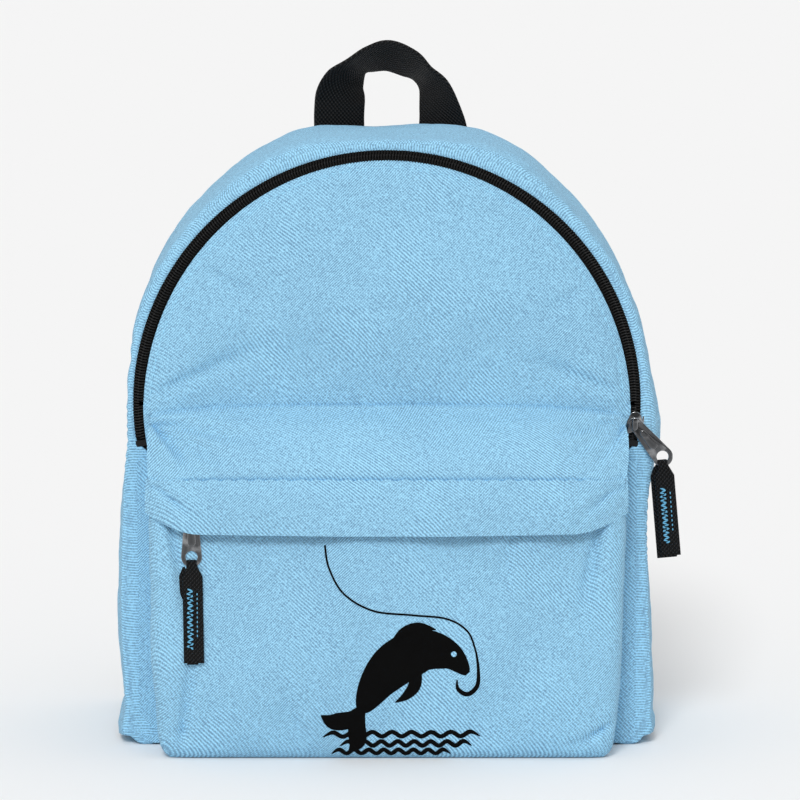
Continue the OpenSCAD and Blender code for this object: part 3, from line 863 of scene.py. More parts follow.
def make_main_zip():
    end = ZIP_END
    fold = 0.4
    zip_tape("main_zip_outer_tape_strip", ZIP_R + 2.0, 2.8, -end, 180 + end, "bag", "main_zip_outer_tape")
    zip_tape("main_zip_flap_tape_strip", ZIP_R - 2.2, 3.2, fold, 180 - fold, "front_flap", "main_zip_flap_tape")
    for name, a0, a1 in (("main_zip_end_tape_right", -end, -fold),
                         ("main_zip_end_tape_left", 180 + fold, 180 + end)):
        zip_tape(name, ZIP_R - 2.2, 3.2, a0, a1, "bag", "main_zip_end_tapes")
    per_degree = math.pi * ZIP_R / 180

    def place(sign):
        def at(distance, across, height):
            return arc_point(ZIP_R + sign * across, distance / per_degree, ZIP_Y - height)
        return at

    stop = 8.6
    rows = [("main_zip_outer_teeth", 1, -stop, 180 + stop, 0.0, "bag", "main_zip_outer_coil"),
            ("main_zip_flap_teeth", -1, fold, 180 - fold, 0.5, "front_flap", "main_zip_flap_coil"),
            ("main_zip_end_teeth_right", -1, -stop, -fold, 0.5, "bag", "main_zip_end_coils"),
            ("main_zip_end_teeth_left", -1, 180 + fold, 180 + stop, 0.5, "bag", "main_zip_end_coils")]
    for name, sign, a0, a1, phase, body, node in rows:
        teeth = coil_teeth(name, place(sign), a0 * per_degree, a1 * per_degree, 1.35, phase, coil_nylon)
        declare(teeth, body, "zip_coil", node)


def make_pocket_zip():
    y = POCKET_Y + 0.6
    half = POCKET_X - 7
    z0 = POCKET_ZIP_Z
    for name, sign, node in (("upper", 1, "pocket_zip_upper"), ("lower", -1, "pocket_zip_lower")):
        points = [(x, y + 0.1, z0 + sign * 4.0) for x in (-half + 2 * half * k / 40 for k in range(41))]
        tape = ribbon(f"pocket_zip_{name}_tape_strip", points, (0, 0, 1), 6.6, 0.5, tape_cloth, 2)
        declare(tape, "bag", "zip_tape", node + "_tape")
        reach = high("pocket_zip_upper_coil").x
        teeth = coil_teeth(f"pocket_zip_{name}_teeth",
                           lambda d, a, h: Vector((d, y - h, z0 + sign * a)),
                           -reach, reach, 1.35, 0.0 if sign > 0 else 0.5, coil_nylon)
        declare(teeth, "bag", "zip_coil", node + "_coil")


def flat_solid(name, loops, thickness, bevel, material, matrix):
    """Plate with holes, cut from closed loops in its own XY plane, with rounded edges."""
    curve = bpy.data.curves.new(name, "CURVE")
    curve.dimensions = "2D"
    curve.fill_mode = "BOTH"
    curve.extrude = (thickness / 2 - bevel) * MM
    curve.bevel_depth = bevel * MM
    curve.bevel_resolution = 2
    curve.offset = -bevel * MM
    for loop in loops:
        line = curve.splines.new("POLY")
        line.points.add(len(loop) - 1)
        for p, (x, y) in zip(line.points, loop):
            p.co = (x * MM, y * MM, 0, 1)
        line.use_cyclic_u = True
    holder = add_object(name + "_curve", curve)
    bpy.context.view_layer.update()
    mesh = bpy.data.meshes.new_from_object(holder.evaluated_get(bpy.context.evaluated_depsgraph_get()))
    bpy.data.objects.remove(holder)
    bpy.data.curves.remove(curve)
    mesh.transform(matrix)
    mesh.name = name
    mesh.materials.clear()
    mesh.materials.append(material)
    piece = add_object(name, mesh)
    fix_normals(piece, merge=True)
    mesh.shade_smooth()
    mesh.set_sharp_from_angle(angle=math.radians(40))
    return piece


def circle_loop(x, y, r, n=32, a0=0.0, a1=360.0):
    full = a1 - a0 >= 360
    steps = n if full else n + 1
    return [(x + r * math.cos(math.radians(a0 + (a1 - a0) * k / n)),
             y + r * math.sin(math.radians(a0 + (a1 - a0) * k / n))) for k in range(steps)]


def facing_front(at, turn):
    """Matrix in metres that stands flat parts upright with their top towards the front."""
    return (Matrix.Translation(Vector(at) * MM) @ Matrix.Rotation(math.pi / 2, 4, "X")
            @ Matrix.Rotation(math.radians(turn), 4, "Z"))


def rounded_rect(w, h, r, x=0.0, y=0.0):
    out = []
    for cx, cy, a in ((w / 2 - r, h / 2 - r, 0), (-w / 2 + r, h / 2 - r, 90),
                      (-w / 2 + r, -h / 2 + r, 180), (w / 2 - r, -h / 2 + r, 270)):
        out += circle_loop(x + cx, y + cy, r, 6, a, a + 90)
    return out


def make_slider(name, at, turn, body):
    """Slider body with its two wings, flanges and the capped post that the puller turns on."""
    base = facing_front(at, turn)

    def layer(tag, loops, z0, z1, bevel):
        return flat_solid(f"{name}_{tag}", loops, z1 - z0, bevel, nickel_painted_highlights,
                          base @ Matrix.Translation((0, 0, (z0 + z1) / 2 * MM)))

    half = 5.2
    wing = circle_loop(half - 2.6, 0, 3.0, 10, -62, 62) + [(0.5, 3.9), (-2.6, 4.25)]
    wing += circle_loop(-half + 1.2, 3.0, 1.2, 6, 90, 180) + [(-half + 0.9, 0.9), (-half + 2.0, 0)]
    wing += [(-half + 0.9, -0.9)] + circle_loop(-half + 1.2, -3.0, 1.2, 6, 180, 270)
    wing += [(-2.6, -4.25), (0.5, -3.9)]
    parts = [layer("top", [wing], 1.35, 2.25, 0.3), layer("bottom", [wing], -2.0, -1.2, 0.25)]
    for sign in (1, -1):
        edge = rounded_rect(8.2, 0.8, 0.3, -0.4, sign * 3.85)
        parts.append(layer(f"flange{sign + 1}", [edge], 0.75, 1.5, 0.15))
    parts.append(layer("post", [circle_loop(0, 0, 1.1, 24)], 1.8, 4.8, 0.1))
    parts.append(layer("cap", [rounded_rect(6.0, 2.6, 1.2)], 4.42, 5.2, 0.3))
    piece = join(name, parts)
    declare(piece, body, "zip_metal", body)


def make_puller(name, joint, body, turn, length):
    at = pivot(joint)
    base = facing_front(at, turn)
    eye, end, hole = 3.0, 4.9, 2.8
    lean = math.degrees(math.asin((end - eye) / length))
    outer = circle_loop(0, 0, eye, 20, lean, 180 - lean)
    outer += circle_loop(0, -length, end, 28, 180 - lean, 360 + lean)
    plate = flat_solid(name + "_plate", [outer, circle_loop(0, 0, 1.7, 24), circle_loop(0, -length, hole, 28)],
                       1.0, 0.22, nickel_painted_highlights, base)
    raised = [(-1.5, -6.0)] + [(-2.1, -13.5)] + circle_loop(0, -13.5, 2.1, 10, 180, 360) + [(1.5, -6.0)]
    raised += circle_loop(0, -6.0, 1.5, 8, 0, 180)[1:-1]
    rib = flat_solid(name + "_rib", [raised], 1.5, 0.3, nickel_painted_highlights, base)
    piece = join(name, [plate, rib])
    declare(piece, body, "zip_metal", body)


def make_pull(name, rim, body, lean=0.0):
    """Webbing folded through the puller's hole, with its two plies sewn together by a zigzag row."""
    hang = Matrix.Translation(rim) @ Matrix.Rotation(-math.radians(lean), 4, "Y") @ Matrix.Translation(-rim)
    x, y, z = rim
    length = z - low(body).z - 0.3
    path = []
    for k in range(15):
        f = k / 14
        path.append((x - 1.0 * f - 0.3, y + 1.35 + 0.1 * math.sin(3 * f), z - length * (1 - f) - 2.2 * f))
    path = [(px - 0.5 * (1 - k / 14), py, pz) for k, (px, py, pz) in enumerate(path)]
    loop = [(x, y + 1.9 * math.cos(a), z + 1.9 * math.sin(a)) for a in (math.pi * k / 10 for k in range(11))]
    front = []
    for k in range(15):
        f = k / 14
        front.append((x + 0.5 * f + 0.4, y - 1.25 - 0.15 * math.sin(3 * f), z - 2.2 - (length - 3.4) * f))
    points = path + loop + front
    widths = []
    for px, py, pz in points:
        widths.append(4.8 + 4.7 * smooth(z - pz, 0.5, 5.0))
    strap = ribbon(name + "_webbing", points, (1, 0, 0), widths, 1.15, web_cloth)
    n = 26
    face_y = y - 1.98
    zig = []
    for k in range(n + 1):
        corner = x - 0.7 + (1.5 if k % 2 else -1.5)
        zig.append((Vector((corner, face_y, z - 11 - (length - 18) * k / n)), Vector((0, -1, 0))))
    line = [(Vector((x + 2.6, face_y, z - 12 - (length - 24) * k / 8)), Vector((0, -1, 0))) for k in range(9)]
    rows = [stitches(name + "_zigzag", zig, pale_thread, 2.6, 0.2, 0.42, 0.25),
            stitches(name + "_line", line, pale_thread, 1.2, 1.0, 0.3, 0.2)]
    sewn = join(name + "_stitches", rows)
    for piece in (strap, sewn):
        for vertex in piece.data.vertices:
            vertex.co = (hang @ (vertex.co / MM)) * MM
        declare(piece, body, "pull_webbing")
    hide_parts(body)


def make_sliders():
    main_pos = pivot("main_puller_hang")
    centre = Vector((main_pos.x, ZIP_Y, main_pos.z))
    angle = math.degrees(math.atan2(centre.z - ARCH_Z, centre.x))
    make_slider("main_slider_body", centre, 90 + angle, "main_slider")
    hole = pivot("main_pull_hang")
    drop = hole - main_pos
    turn = math.degrees(math.atan2(drop.x, -drop.z))
    make_puller("main_puller_plate", "main_puller_hang", "main_puller", turn, drop.length)
    make_pull("main_pull", hole - Vector((0, 0, 3.85)), "main_pull", MAIN_PULL_LEAN)
    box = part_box("pocket_slider")
    mid = (box[0] + box[1]) / 2 / MM
    make_slider("pocket_slider_body", (mid.x, POCKET_Y + 0.6, mid.z), 0, "pocket_slider")
    rim = pivot("pocket_pull_swing")
    eye_z = pivot("pocket_puller_swing").z
    make_puller("pocket_puller_plate", "pocket_puller_swing", "pocket_puller", 0, eye_z - rim.z - 3.85)
    make_pull("pocket_pull", rim, "pocket_pull")
    for node in ("main_zip_stops", "pocket_zip_stops"):
        frame["nodes"][node].data.materials.clear()
        frame["nodes"][node].data.materials.append(coil_nylon)


# ---------------------------------------------------------------- pocket

PLAN_R = 7.0
FRONT_HALF = POCKET_X - PLAN_R
SIDE_RUN = (FRONT_Y - POCKET_Y) - PLAN_R - 0.6
PLAN_HALF = FRONT_HALF + PLAN_R * math.pi / 2 + SIDE_RUN


def pocket_plan(p):
    """Point and normal in plan, at a distance p from the middle of the pocket's front."""
    sign = 1 if p >= 0 else -1
    d = abs(p)
    if d <= FRONT_HALF:
        return p, POCKET_Y, 0.0, -1.0
    turn = (d - FRONT_HALF) / PLAN_R
    if turn <= math.pi / 2:
        return (sign * (FRONT_HALF + PLAN_R * math.sin(turn)), POCKET_Y + PLAN_R * (1 - math.cos(turn)),
                sign * math.sin(turn), -math.cos(turn))
    run = d - FRONT_HALF - PLAN_R * math.pi / 2
    return sign * POCKET_X, POCKET_Y + PLAN_R + run, float(sign), 0.0


def pocket_top_z(p):
    """Height of the pocket cloth's top edge: the zip's lower lip in front, the sloping seam at the sides."""
    y = pocket_plan(p)[1]
    d = abs(p)
    lip = POCKET_ZIP_Z - LIP - 0.2
    seam = POCKET_EDGE - 1.5 + (POCKET_TOP - 5 - POCKET_EDGE) * clamp((y - POCKET_Y) / (FRONT_Y - POCKET_Y))
    return lip + (seam - lip) * smooth(d, FRONT_HALF - 6, FRONT_HALF + 7)


def pocket_out(p, z):
    """How far the pocket stands out from its plain plan."""
    d = abs(p)
    centre = 1 - clamp(d / PLAN_HALF) ** 4
    full = 3.8 * math.sin(math.pi * clamp(z / 125, 0.0, 1.0)) ** 0.8 * centre
    curl = 7.0
    if z < curl:
        full -= curl * 0.75 * (1 - math.sqrt(max(1 - (1 - z / curl) ** 2, 0)))
    full -= 2.6 * smooth(d, FRONT_HALF - 10, FRONT_HALF + 12) * (1 - smooth(z, 0, 60))
    full += 2.6 * smooth(d, FRONT_HALF - 5, FRONT_HALF + 8) * smooth(z, 70, 125)
    wave = 2.6 * rough(p, 0, z * 0.7, 55, 1.3) + 1.6 * rough(p, 0, z * 0.6, 24, 4.1)
    wave += 0.4 * rough(p, 0, z, 9, 3.3)
    dents = fold(p, z, -98, 4, -88, 70, 3.0, -2.6) + fold(p, z, 104, 16, 84, 3, 2.4, -3.2)
    dents += fold(p, z, 100, 118, 90, 60, 3.4, -2.8) + fold(p, z, -102, 116, -92, 64, 3.0, -2.4)
    dents += fold(p, z, 60, 112, 48, 70, 5.0, -1.6) + fold(p, z, -40, 2, -52, 46, 4.0, -1.5)
    return full + (wave + dents) * smooth(z, 2, 14)


def pocket_wrap(u, v):
    p = (2 * u - 1) * PLAN_HALF
    x, y, nx, ny = pocket_plan(p)
    top = pocket_top_z(p)
    z = 0.3 + (top - 0.3) * v
    out = pocket_out(p, z)
    lip = clamp((z - top + 2.2) / 2.2)
    roll = 1.6 * (1 - math.sqrt(max(1 - lip ** 2, 0)))
    out -= roll
    side_end = smooth(abs(p), PLAN_HALF - 6, PLAN_HALF)
    out *= 1 - 0.8 * side_end
    return Vector((x + nx * out, y + ny * out, z))


def pocket_front_y(x, z):
    return POCKET_Y - pocket_out(x, z)


def seam_z(x):
    return POCKET_TOP + 1.0 - 5.5 * clamp(abs(x) / POCKET_X) ** 4


def band_section(x, t):
    """Y and Z down the puffed top of the pocket, from the seam on the front panel to the zip's upper lip."""
    q = clamp(abs(x) / BAND_HALF)
    puff = 1 - q ** 5
    y0 = FRONT_Y - 1.6 - panel_bulge(x, ARCH_Z) * 0.8
    zs = seam_z(x)
    e = POCKET_EDGE
    points = [(y0 + 1.5, zs + 1.2), (y0 - 0.6, zs + 0.2), (y0 - 3.0 - 1.0 * puff, zs - 1.2 + 0.8 * puff),
              (-64 - 2.5 * puff, zs - 5.5 + 3.2 * puff), (-72 - 2.5 * puff, zs - 12.0 + 4.2 * puff),
              (-80 - 2.5 * puff, zs - 19.5 + 3.6 * puff), (-86 - 2.2 * puff, zs - 26 + 1.5 * puff),
              (POCKET_Y - 1.6, e - 0.6), (POCKET_Y - 1.2, e - 4), (POCKET_Y - 0.4, POCKET_ZIP_Z + LIP + 3),
              (POCKET_Y - 0.2, POCKET_ZIP_Z + LIP + 0.2), (POCKET_Y + 0.9, POCKET_ZIP_Z + LIP + 0.5)]
    return spline(points, t)


BAND_HALF = POCKET_X + 2.5


def band_wrinkle(x, z):
    w = 2.4 * rough(x * 0.5, 0, z, 30, 5.9) + 1.3 * rough(x * 0.8, 0, z, 13, 2.4)
    for x1, z1, width, depth in ((-66, 137, 3.2, -5.2), (-84, 133, 2.6, -4.0), (-58, 151, 2.6, -3.0),
                                 (-76, 143, 2.4, 2.8), (-95, 131, 2.2, 2.0)):
        w += fold(x, z, -112, 158, x1, z1, width, depth)
    for x1, z1, width, depth in ((78, 141, 3.0, -4.0), (92, 134, 2.6, -3.4),
                                 (70, 152, 2.4, -2.4), (86, 146, 2.2, 2.2)):
        w += fold(x, z, 112, 158, x1, z1, width, depth)
    return w


def band_point(u, t):
    x = (2 * u - 1) * BAND_HALF
    y, z = band_section(x, t)
    puff = math.sin(math.pi * clamp((t - 0.08) / 0.52)) if 0.08 < t < 0.6 else 0.0
    w = band_wrinkle(x, z) * puff
    back = 3.5 * clamp((abs(x) - FRONT_HALF + 2) / 9) ** 2 * smooth(t, 0.3, 0.62)
    pucker = 0.55 * math.sin(x + 2.5 * rough(x, 0, z, 15, 3.0))
    pucker *= bump(t, 0.12, 0.04) + bump(t, 0.60, 0.04)
    groove = 0.7 * (bump(t, 0.105, 0.018) + bump(t, 0.625, 0.02))
    wide = 2.2 * puff * smooth(x, 96, 108) - 1.2 * puff * smooth(-x, 100, 109)
    return Vector((x + wide, y + groove - w * 0.75 + back, z + w * 0.6 - groove + pucker * 0.6))


def storm_point(u, v):
    """Outer face of the storm flap, from its seam to its lower edge, drawn in at the corners."""
    x = (2 * u - 1) * (POCKET_X + 3.2)
    end = clamp((abs(x) - FRONT_HALF + 14) / 24)
    zl = STORM_LOW + 1.2 * clamp(abs(x) / 90) ** 2 + 8.5 * end ** 1.6
    z = POCKET_EDGE - 0.4 + (zl - POCKET_EDGE + 0.4) * v
    out = 1.9 + 5.4 * v - 1.2 * v * v + 1.4 * math.sin(math.pi * v)
    out *= 1 - 0.45 * end ** 2
    w = 1.3 * rough(x * 0.8, 2, z, 32, 6.6) + 0.6 * rough(x, 2, z, 13, 1.6)
    w += fold(x, z, -112, 134, -84, 112, 2.6, -2.4) + fold(x, z, 112, 134, 88, 114, 2.6, -2.4)
    y = POCKET_Y - out - w * smooth(v, 0.02, 0.3) + 7.5 * end ** 2.2
    pucker = 0.45 * math.sin(x * 0.9 + 2.5 * rough(x, 0, 9, 15, 8.0)) * bump(v, 0.0, 0.12)
    return Vector((x, y, z + pucker))


def make_pocket():
    body = surface("pocket_cloth", 190, 70, pocket_wrap, front_cloth)
    declare(body, "bag", "shell_cloth", "pocket_front", "pocket_side_left", "pocket_side_right")

    def bottom_point(u, v):
        edge = pocket_wrap(u, 0.0)
        x = edge.x * (1 - 0.004 * v)
        return Vector((x, edge.y + 0.3 + (FRONT_Y - 0.5 - edge.y) * v, 0.3))

    floor_piece = surface("pocket_bottom_cloth", 120, 10, bottom_point, front_cloth, flip=True)
    declare(floor_piece, "bag", "shell_cloth", "pocket_bottom")

    band = surface("pocket_top_cloth", 170, 60, band_point, front_cloth)
    declare(band, "bag", "shell_cloth", "pocket_top")
    rows = []
    for t in (0.135, 0.175):
        uvs = [(0.03 + 0.94 * k / 200, t) for k in range(201)]
        rows.append(stitches(f"band_stitches_{t}", on_surface(band_point, uvs, (0, -1, 0.6)), blue_thread))
    seam = join("pocket_top_stitches", rows)
    declare(seam, "bag", "shell_cloth")

    storm = surface("storm_flap_cloth", 170, 30, storm_point, front_cloth, thickness=1.8)
    uvs = [(0.015 + 0.97 * k / 200, 0.07) for k in range(201)]
    row = stitches("storm_flap_stitches", on_surface(storm_point, uvs, (0, -1, 0)), blue_thread)
    hinge = pivot("storm_flap_lift")
    for piece in (storm, row):
        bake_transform(piece)
    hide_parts("storm_flap")


# ---------------------------------------------------------------- print on the pocket

def print_sheet(name, nu, nv, place):
    """Ink laid on the pocket: place(u, v) gives X and Z."""
    def point(u, v):
        x, z = place(u, v)
        return Vector((x, pocket_front_y(x, z) - 0.16, z))
    return surface(name, nu, nv, point, ink, thickness=0.12)


def line_place(points, width):
    """Strip of ink along a curve through points, with a width at each or as a function of u."""
    def place(u, v):
        x, z = spline(points, u)
        ax, az = spline(points, min(u + 0.01, 1))
        bx, bz = spline(points, max(u - 0.01, 0))
        d = math.hypot(ax - bx, az - bz) or 1.0
        w = (width(u) if callable(width) else spline([(w,) for w in width], u)[0]) / 2 * (2 * v - 1)
        return x - (az - bz) / d * w, z + (ax - bx) / d * w
    return place


def make_print():
    """Plain black picture: a leaping fish, a line and hook, and three waves."""
    parts = []
    spine = [(-12, 24), (-4, 38), (6, 48), (18, 53), (30, 50), (38, 42)]

    def girth(u):
        return 1.8 + 20.4 * math.sin(math.pi * clamp(u * 0.97 + 0.02) ** 0.85) ** 0.9

    parts.append(print_sheet("print_fish", 60, 14, line_place(spine, girth)))
    tail_a = [(-12, 25), (-17, 20), (-25, 19), (-31, 22)]
    tail_b = [(-12, 24), (-14, 17), (-14, 9), (-18, 4)]
    for k, tail in enumerate((tail_a, tail_b)):
        parts.append(print_sheet(f"print_tail_{k}", 16, 6, line_place(tail, [4, 8, 8, 0.6])))
    fin = [(2, 56), (8, 61), (15, 64), (23, 63)]
    parts.append(print_sheet("print_fin", 16, 6, line_place(fin, [1, 6, 5, 0.5])))
    belly = [(14, 43), (13, 36), (9, 31), (4, 28)]
    parts.append(print_sheet("print_belly_fin", 14, 5, line_place(belly, [5, 6, 4, 0.5])))
    line = [(-29, 103), (-27, 92), (-20, 80), (-6, 72), (12, 70), (28, 68), (38, 62), (42, 52)]
    parts.append(print_sheet("print_line", 70, 2, line_place(line, [0.9] * 8)))
    hook = [(42, 52), (43, 44), (42.5, 36), (38, 32), (33.5, 34.5), (33, 39)]
    parts.append(print_sheet("print_hook", 30, 2, line_place(hook, [0.9, 1.4, 2.0, 2.2, 1.8, 0.5])))
    for k, (x0, x1, z) in enumerate(((-30, 44, 12), (-22, 40, 7.5), (-26, 30, 3.4))):
        wave = [(x0 + (x1 - x0) * i / 16, z + (1.6 if i % 2 else -0.6)) for i in range(17)]
        width = [0.4] + [2.1] * 15 + [0.4]
        parts.append(print_sheet(f"print_wave_{k}", 90, 2, line_place(wave, width)))
    piece = join("pocket_print", parts)
    declare(piece, "bag", "shell_cloth")

    def eye(u, v):
        a, b = disc_map(u, v)
        return 31.5 + 1.3 * a, 51.2 + 1.3 * b

    spot = surface("print_eye", 8, 8,
                   lambda u, v: Vector((eye(u, v)[0], pocket_front_y(*eye(u, v)) - 0.30, eye(u, v)[1])),
                   front_cloth, thickness=0.1)
    declare(spot, "bag", "shell_cloth")


# ---------------------------------------------------------------- handle

def make_handle():
    hinge = pivot("grab_handle_fold")
    mid_x = (low("grab_handle").x + high("grab_handle").x) / 2
    half = (high("grab_handle").x - low("grab_handle").x) / 2 - 12.5
    top = high("grab_handle").z + 2
    sewn = low("handle_sewn_ends").z
    y0, y1 = BACK_Y + 2.1, hinge.y
    left, right = mid_x - half, mid_x + half
    # x, y, z, half width seen from the front
    stations = [(left, y0, sewn, 12.5), (left, y0, sewn + 9, 12.5), (left, y0 + 0.2, hinge.z - 3, 12.5),
                (left, y1, hinge.z + 5, 12.5), (left + 0.8, y1, top - 27, 12.2),
                (left + 3.2, y1, top - 19.5, 9.6), (left + 8.6, y1 - 1, top - 13.2, 5.6),
                (left + 15.5, y1 - 1, top - 9.6, 6.6), (mid_x - 1.2, y1, top - 8.0, 7.8),
                (right - 16.5, y1, top - 12.0, 7.2), (right - 9.8, y1, top - 17.2, 5.4),
                (right - 4.4, y1, top - 24.0, 7.6), (right - 1.6, y1, hinge.z + 7, 10.2),
                (right, y0 + 0.2, hinge.z - 3, 12.0), (right, y0, sewn + 9, 12.3), (right, y0, sewn, 12.4)]
    n = 150
    centres = [Vector(spline([s[:3] for s in stations], k / n)) for k in range(n + 1)]
    sides = []
    for k in range(n + 1):
        seen = spline([(s[3],) for s in stations], k / n)[0]
        ahead = (centres[min(k + 1, n)] - centres[max(k - 1, 0)]).normalized()
        inward = Vector((ahead.z, 0, -ahead.x))
        share = clamp(seen / 12.5, -1, 1)
        away = math.sqrt(1 - share * share)
        sides.append(inward.normalized() * share + Vector((0, away, 0)))
    piece = ribbon("handle_webbing", centres, sides, 25.0, 1.9, web_cloth, 10)
    for v in piece.data.vertices:
        x, y, z = v.co / MM
        v.co.y += 0.5 * rough(x, y, z, 14, 4.0) * MM * smooth(z, hinge.z, hinge.z + 10)
    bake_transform(piece)
    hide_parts("grab_handle", "handle_sewn_ends")
    rows = []
    for k, cx in enumerate((left, right)):
        zl, zh = sewn + 2.5, hinge.z - 5
        a = 9.5
        corners = [(cx - a, zl), (cx + a, zl), (cx + a, zh), (cx - a, zh), (cx - a, zl), (cx + a, zh),
                   (cx + a, zl), (cx - a, zh)]
        path = []
        for (ax, az), (bx, bz) in zip(corners, corners[1:]):
            path += [(Vector((ax + (bx - ax) * i / 8, y0 + 1.0, az + (bz - az) * i / 8)), Vector((0, 1, 0)))
                     for i in range(8)]
        rows.append(stitches(f"handle_box_{k}", path, black_thread, 2.2, 0.8, 0.26))
    box = join("handle_box_stitches", rows)
    declare(box, "bag", "handle_webbing")


# ---------------------------------------------------------------- shoulder straps

STRAP_TOP = high("strap_binding_right").z
STRAP_LOW = low("strap_binding_right").z
PAD_Y = low("strap_binding_right").y
PAD_T = high("strap_binding_right").y - PAD_Y


def rounded_box(name, size, radius, material, matrix):
    work = bmesh.new()
    bmesh.ops.create_cube(work, size=1.0)
    bmesh.ops.scale(work, vec=Vector(size) * MM, verts=work.verts)
    bmesh.ops.bevel(work, geom=work.edges, offset=radius * MM, segments=3, profile=0.5, affect="EDGES")
    mesh = bpy.data.meshes.new(name)
    work.to_mesh(mesh)
    work.free()
    mesh.transform(matrix)
    mesh.shade_smooth()
    mesh.materials.append(material)
    piece = add_object(name, mesh)
    return piece


def make_strap(side, sign):
    body = f"strap_{side}"
    hinge = pivot(f"strap_{side}_swing")
    lock_at = pivot(f"ladder_lock_{side}_tilt")
    axis = Vector(JOINTS[f"ladder_lock_{side}_tilt"]["axis"])
    top_x = abs(hinge.x)
    low_x = abs(lock_at.x)
    height = STRAP_TOP - STRAP_LOW

    def middle(u):
        return sign * (top_x + (low_x - top_x) * u * u), STRAP_TOP - height * u

    def half(u):
        return 23.0 - 5.0 * u

    steps, ring_n = 64, 28
    rings = []
    for k in range(steps + 1):
        u = k / steps
        x, z = middle(u)
        end = min(u, 1 - u) * height
        pinch = 0.45 + 0.55 * smooth(end, 0, 9)
        w = half(u) - 0.8
        ring = []
        for i in range(ring_n):
            q = 2 * math.pi * i / ring_n
            ca, sa = math.cos(q), math.sin(q)
            px = w * math.copysign(abs(ca) ** 0.45, ca)
            py = PAD_T / 2 * pinch * math.copysign(abs(sa) ** 0.8, sa)
            py += 0.25 * rough(px, 0, z, 14, 2.0 + sign)
            ring.append(Vector((x + px, PAD_Y + PAD_T / 2 + py, z)))
        rings.append(ring)
    pad = sweep(f"{body}_pad", rings, front_cloth)
    pad.data.materials.append(mesh_cloth)
    for poly in pad.data.polygons:
        if poly.normal.y < -0.35:
            poly.material_index = 1
    declare(pad, body, "shell_cloth", f"strap_face_{side}", f"strap_foam_{side}", f"strap_lining_{side}")

    edge = []
    mid_y = PAD_Y + PAD_T / 2
    for k in range(41):
        x, z = middle(k / 40)
        edge.append((x + sign * half(k / 40), mid_y, z))
    for k in range(1, 8):
        a = math.pi * k / 8
        x, z = middle(1)
        edge.append((x + sign * half(1) * math.cos(a), mid_y, z - 0.6 * math.sin(a)))
    for k in range(40, -1, -1):
        x, z = middle(k / 40)
        edge.append((x - sign * half(k / 40), mid_y, z))
    binding = tube(f"{body}_binding", edge, 2.3, tape_cloth, 10, 0.62, (0, 1, 0))
    for key in ("along", "across"):
        values = [v.co.z / MM if key == "along" else v.co.y / MM for v in binding.data.vertices]
        binding.data.attributes.new(key, "FLOAT", "POINT").data.foreach_set("value", values)
    declare(binding, body, "binding", f"strap_binding_{side}")
    rows = []
    inset = 4.6
    for s in (1, -1):
        path = []
        for k in range(81):
            u = 0.015 + 0.97 * k / 80
            x, z = middle(u)
            w = half(u) - 0.8
            off = w - inset + 0.8
            lift = PAD_T / 2 * (1 - (off / w) ** (1 / 0.45 * 2)) ** 0.4
            path.append((Vector((x + s * off, mid_y + lift, z)), Vector((0, 1, 0))))
        rows.append(stitches(f"{body}_row_{s}", path, blue_thread))
    sewn = join(f"{body}_stitches", rows)
    declare(sewn, body, "shell_cloth")

    # loop, lock and webbing lie along the direction from the lock to the anchor
    down = axis.cross(Vector((0, 1, 0)))
    if down.z > 0:
        down = -down
    width_dir = axis.normalized()
    out = Vector((0, 1, 0))
    loop = []
    for k in range(9):
        f = k / 8
        loop.append(lock_at - down * (15 - 11.5 * f) + out * (-1.2 - 1.4 * f))
    for k in range(1, 12):
        a = math.pi * k / 12
        loop.append(lock_at + down * 2.9 * math.sin(a) - out * 2.9 * math.cos(a))
    for k in range(9):
        f = k / 8
        loop.append(lock_at - down * (1.5 + 13.5 * f) + out * (2.6 - 1.4 * f))
    strip = ribbon(f"lock_loop_{side}_webbing", loop, width_dir, 24.0, 1.1, web_cloth)
    declare(strip, body, "strap_webbing", f"lock_loop_{side}")

    turn = Matrix((width_dir, out, -down)).transposed().to_4x4()
    place = Matrix.Translation(lock_at * MM) @ turn
    parts = []
    for k, (x, z, w, h, d) in enumerate((
            (-15.3, -11.5, 3.6, 26.5, 4.0), (15.3, -11.5, 3.6, 26.5, 4.0), (0, -11, 28, 3.6, 3.4),
            (0, -22.4, 29, 4.2, 4.0), (0, -25.2, 22, 3.0, 2.2))):
        parts.append(rounded_box(f"lock_bar_{side}_{k}", (w, d, h), 0.9, acetal,
                                 place @ Matrix.Translation(Vector((x, 0, z)) * MM)))
    bar = tube(f"lock_top_{side}", [lock_at - width_dir * 16, lock_at + width_dir * 16], 1.7, acetal, 16)
    lock = join(f"ladder_lock_{side}_frame", parts + [bar])
    declare(lock, f"ladder_lock_{side}", "lock_plastic", f"ladder_lock_{side}")

    anchor = Vector((sign * (abs(lock_at.x) + 38), BACK_Y + 2.4, 20))
    run = (anchor - lock_at).length
    lower = []
    for k in range(33):
        f = k / 32
        p = lock_at + down * (9 + (run - 9) * f)
        bow = 5.0 * math.sin(math.pi * f)
        p.y = lock_at.y - 2.9 + (BACK_Y + 2.0 - lock_at.y + 2.9) * f + bow
        if f < 0.35:
            p.y = min(p.y, lock_at.y - 2.7)
        lower.append(p)
    webbing = ribbon(f"strap_{side}_webbing", lower, width_dir, 25.0, 1.4, web_cloth)
    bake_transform(webbing)
    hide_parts(f"strap_webbing_{side}")
    tail = [lock_at + down * 9.5 - out * 2.7, lock_at + down * 8.2 - out * 2.2, lock_at + down * 7.4,
            lock_at + down * 8.2 + out * 2.2]
    for k in range(25):
        f = k / 24
        tail.append(lock_at + down * (10 + 50 * f) + out * (2.9 + 4.5 * math.sin(1.6 * f) * f))
    free = ribbon(f"strap_{side}_tail", tail, width_dir, 24.6, 1.4, web_cloth)
    declare(free, body, "strap_webbing")

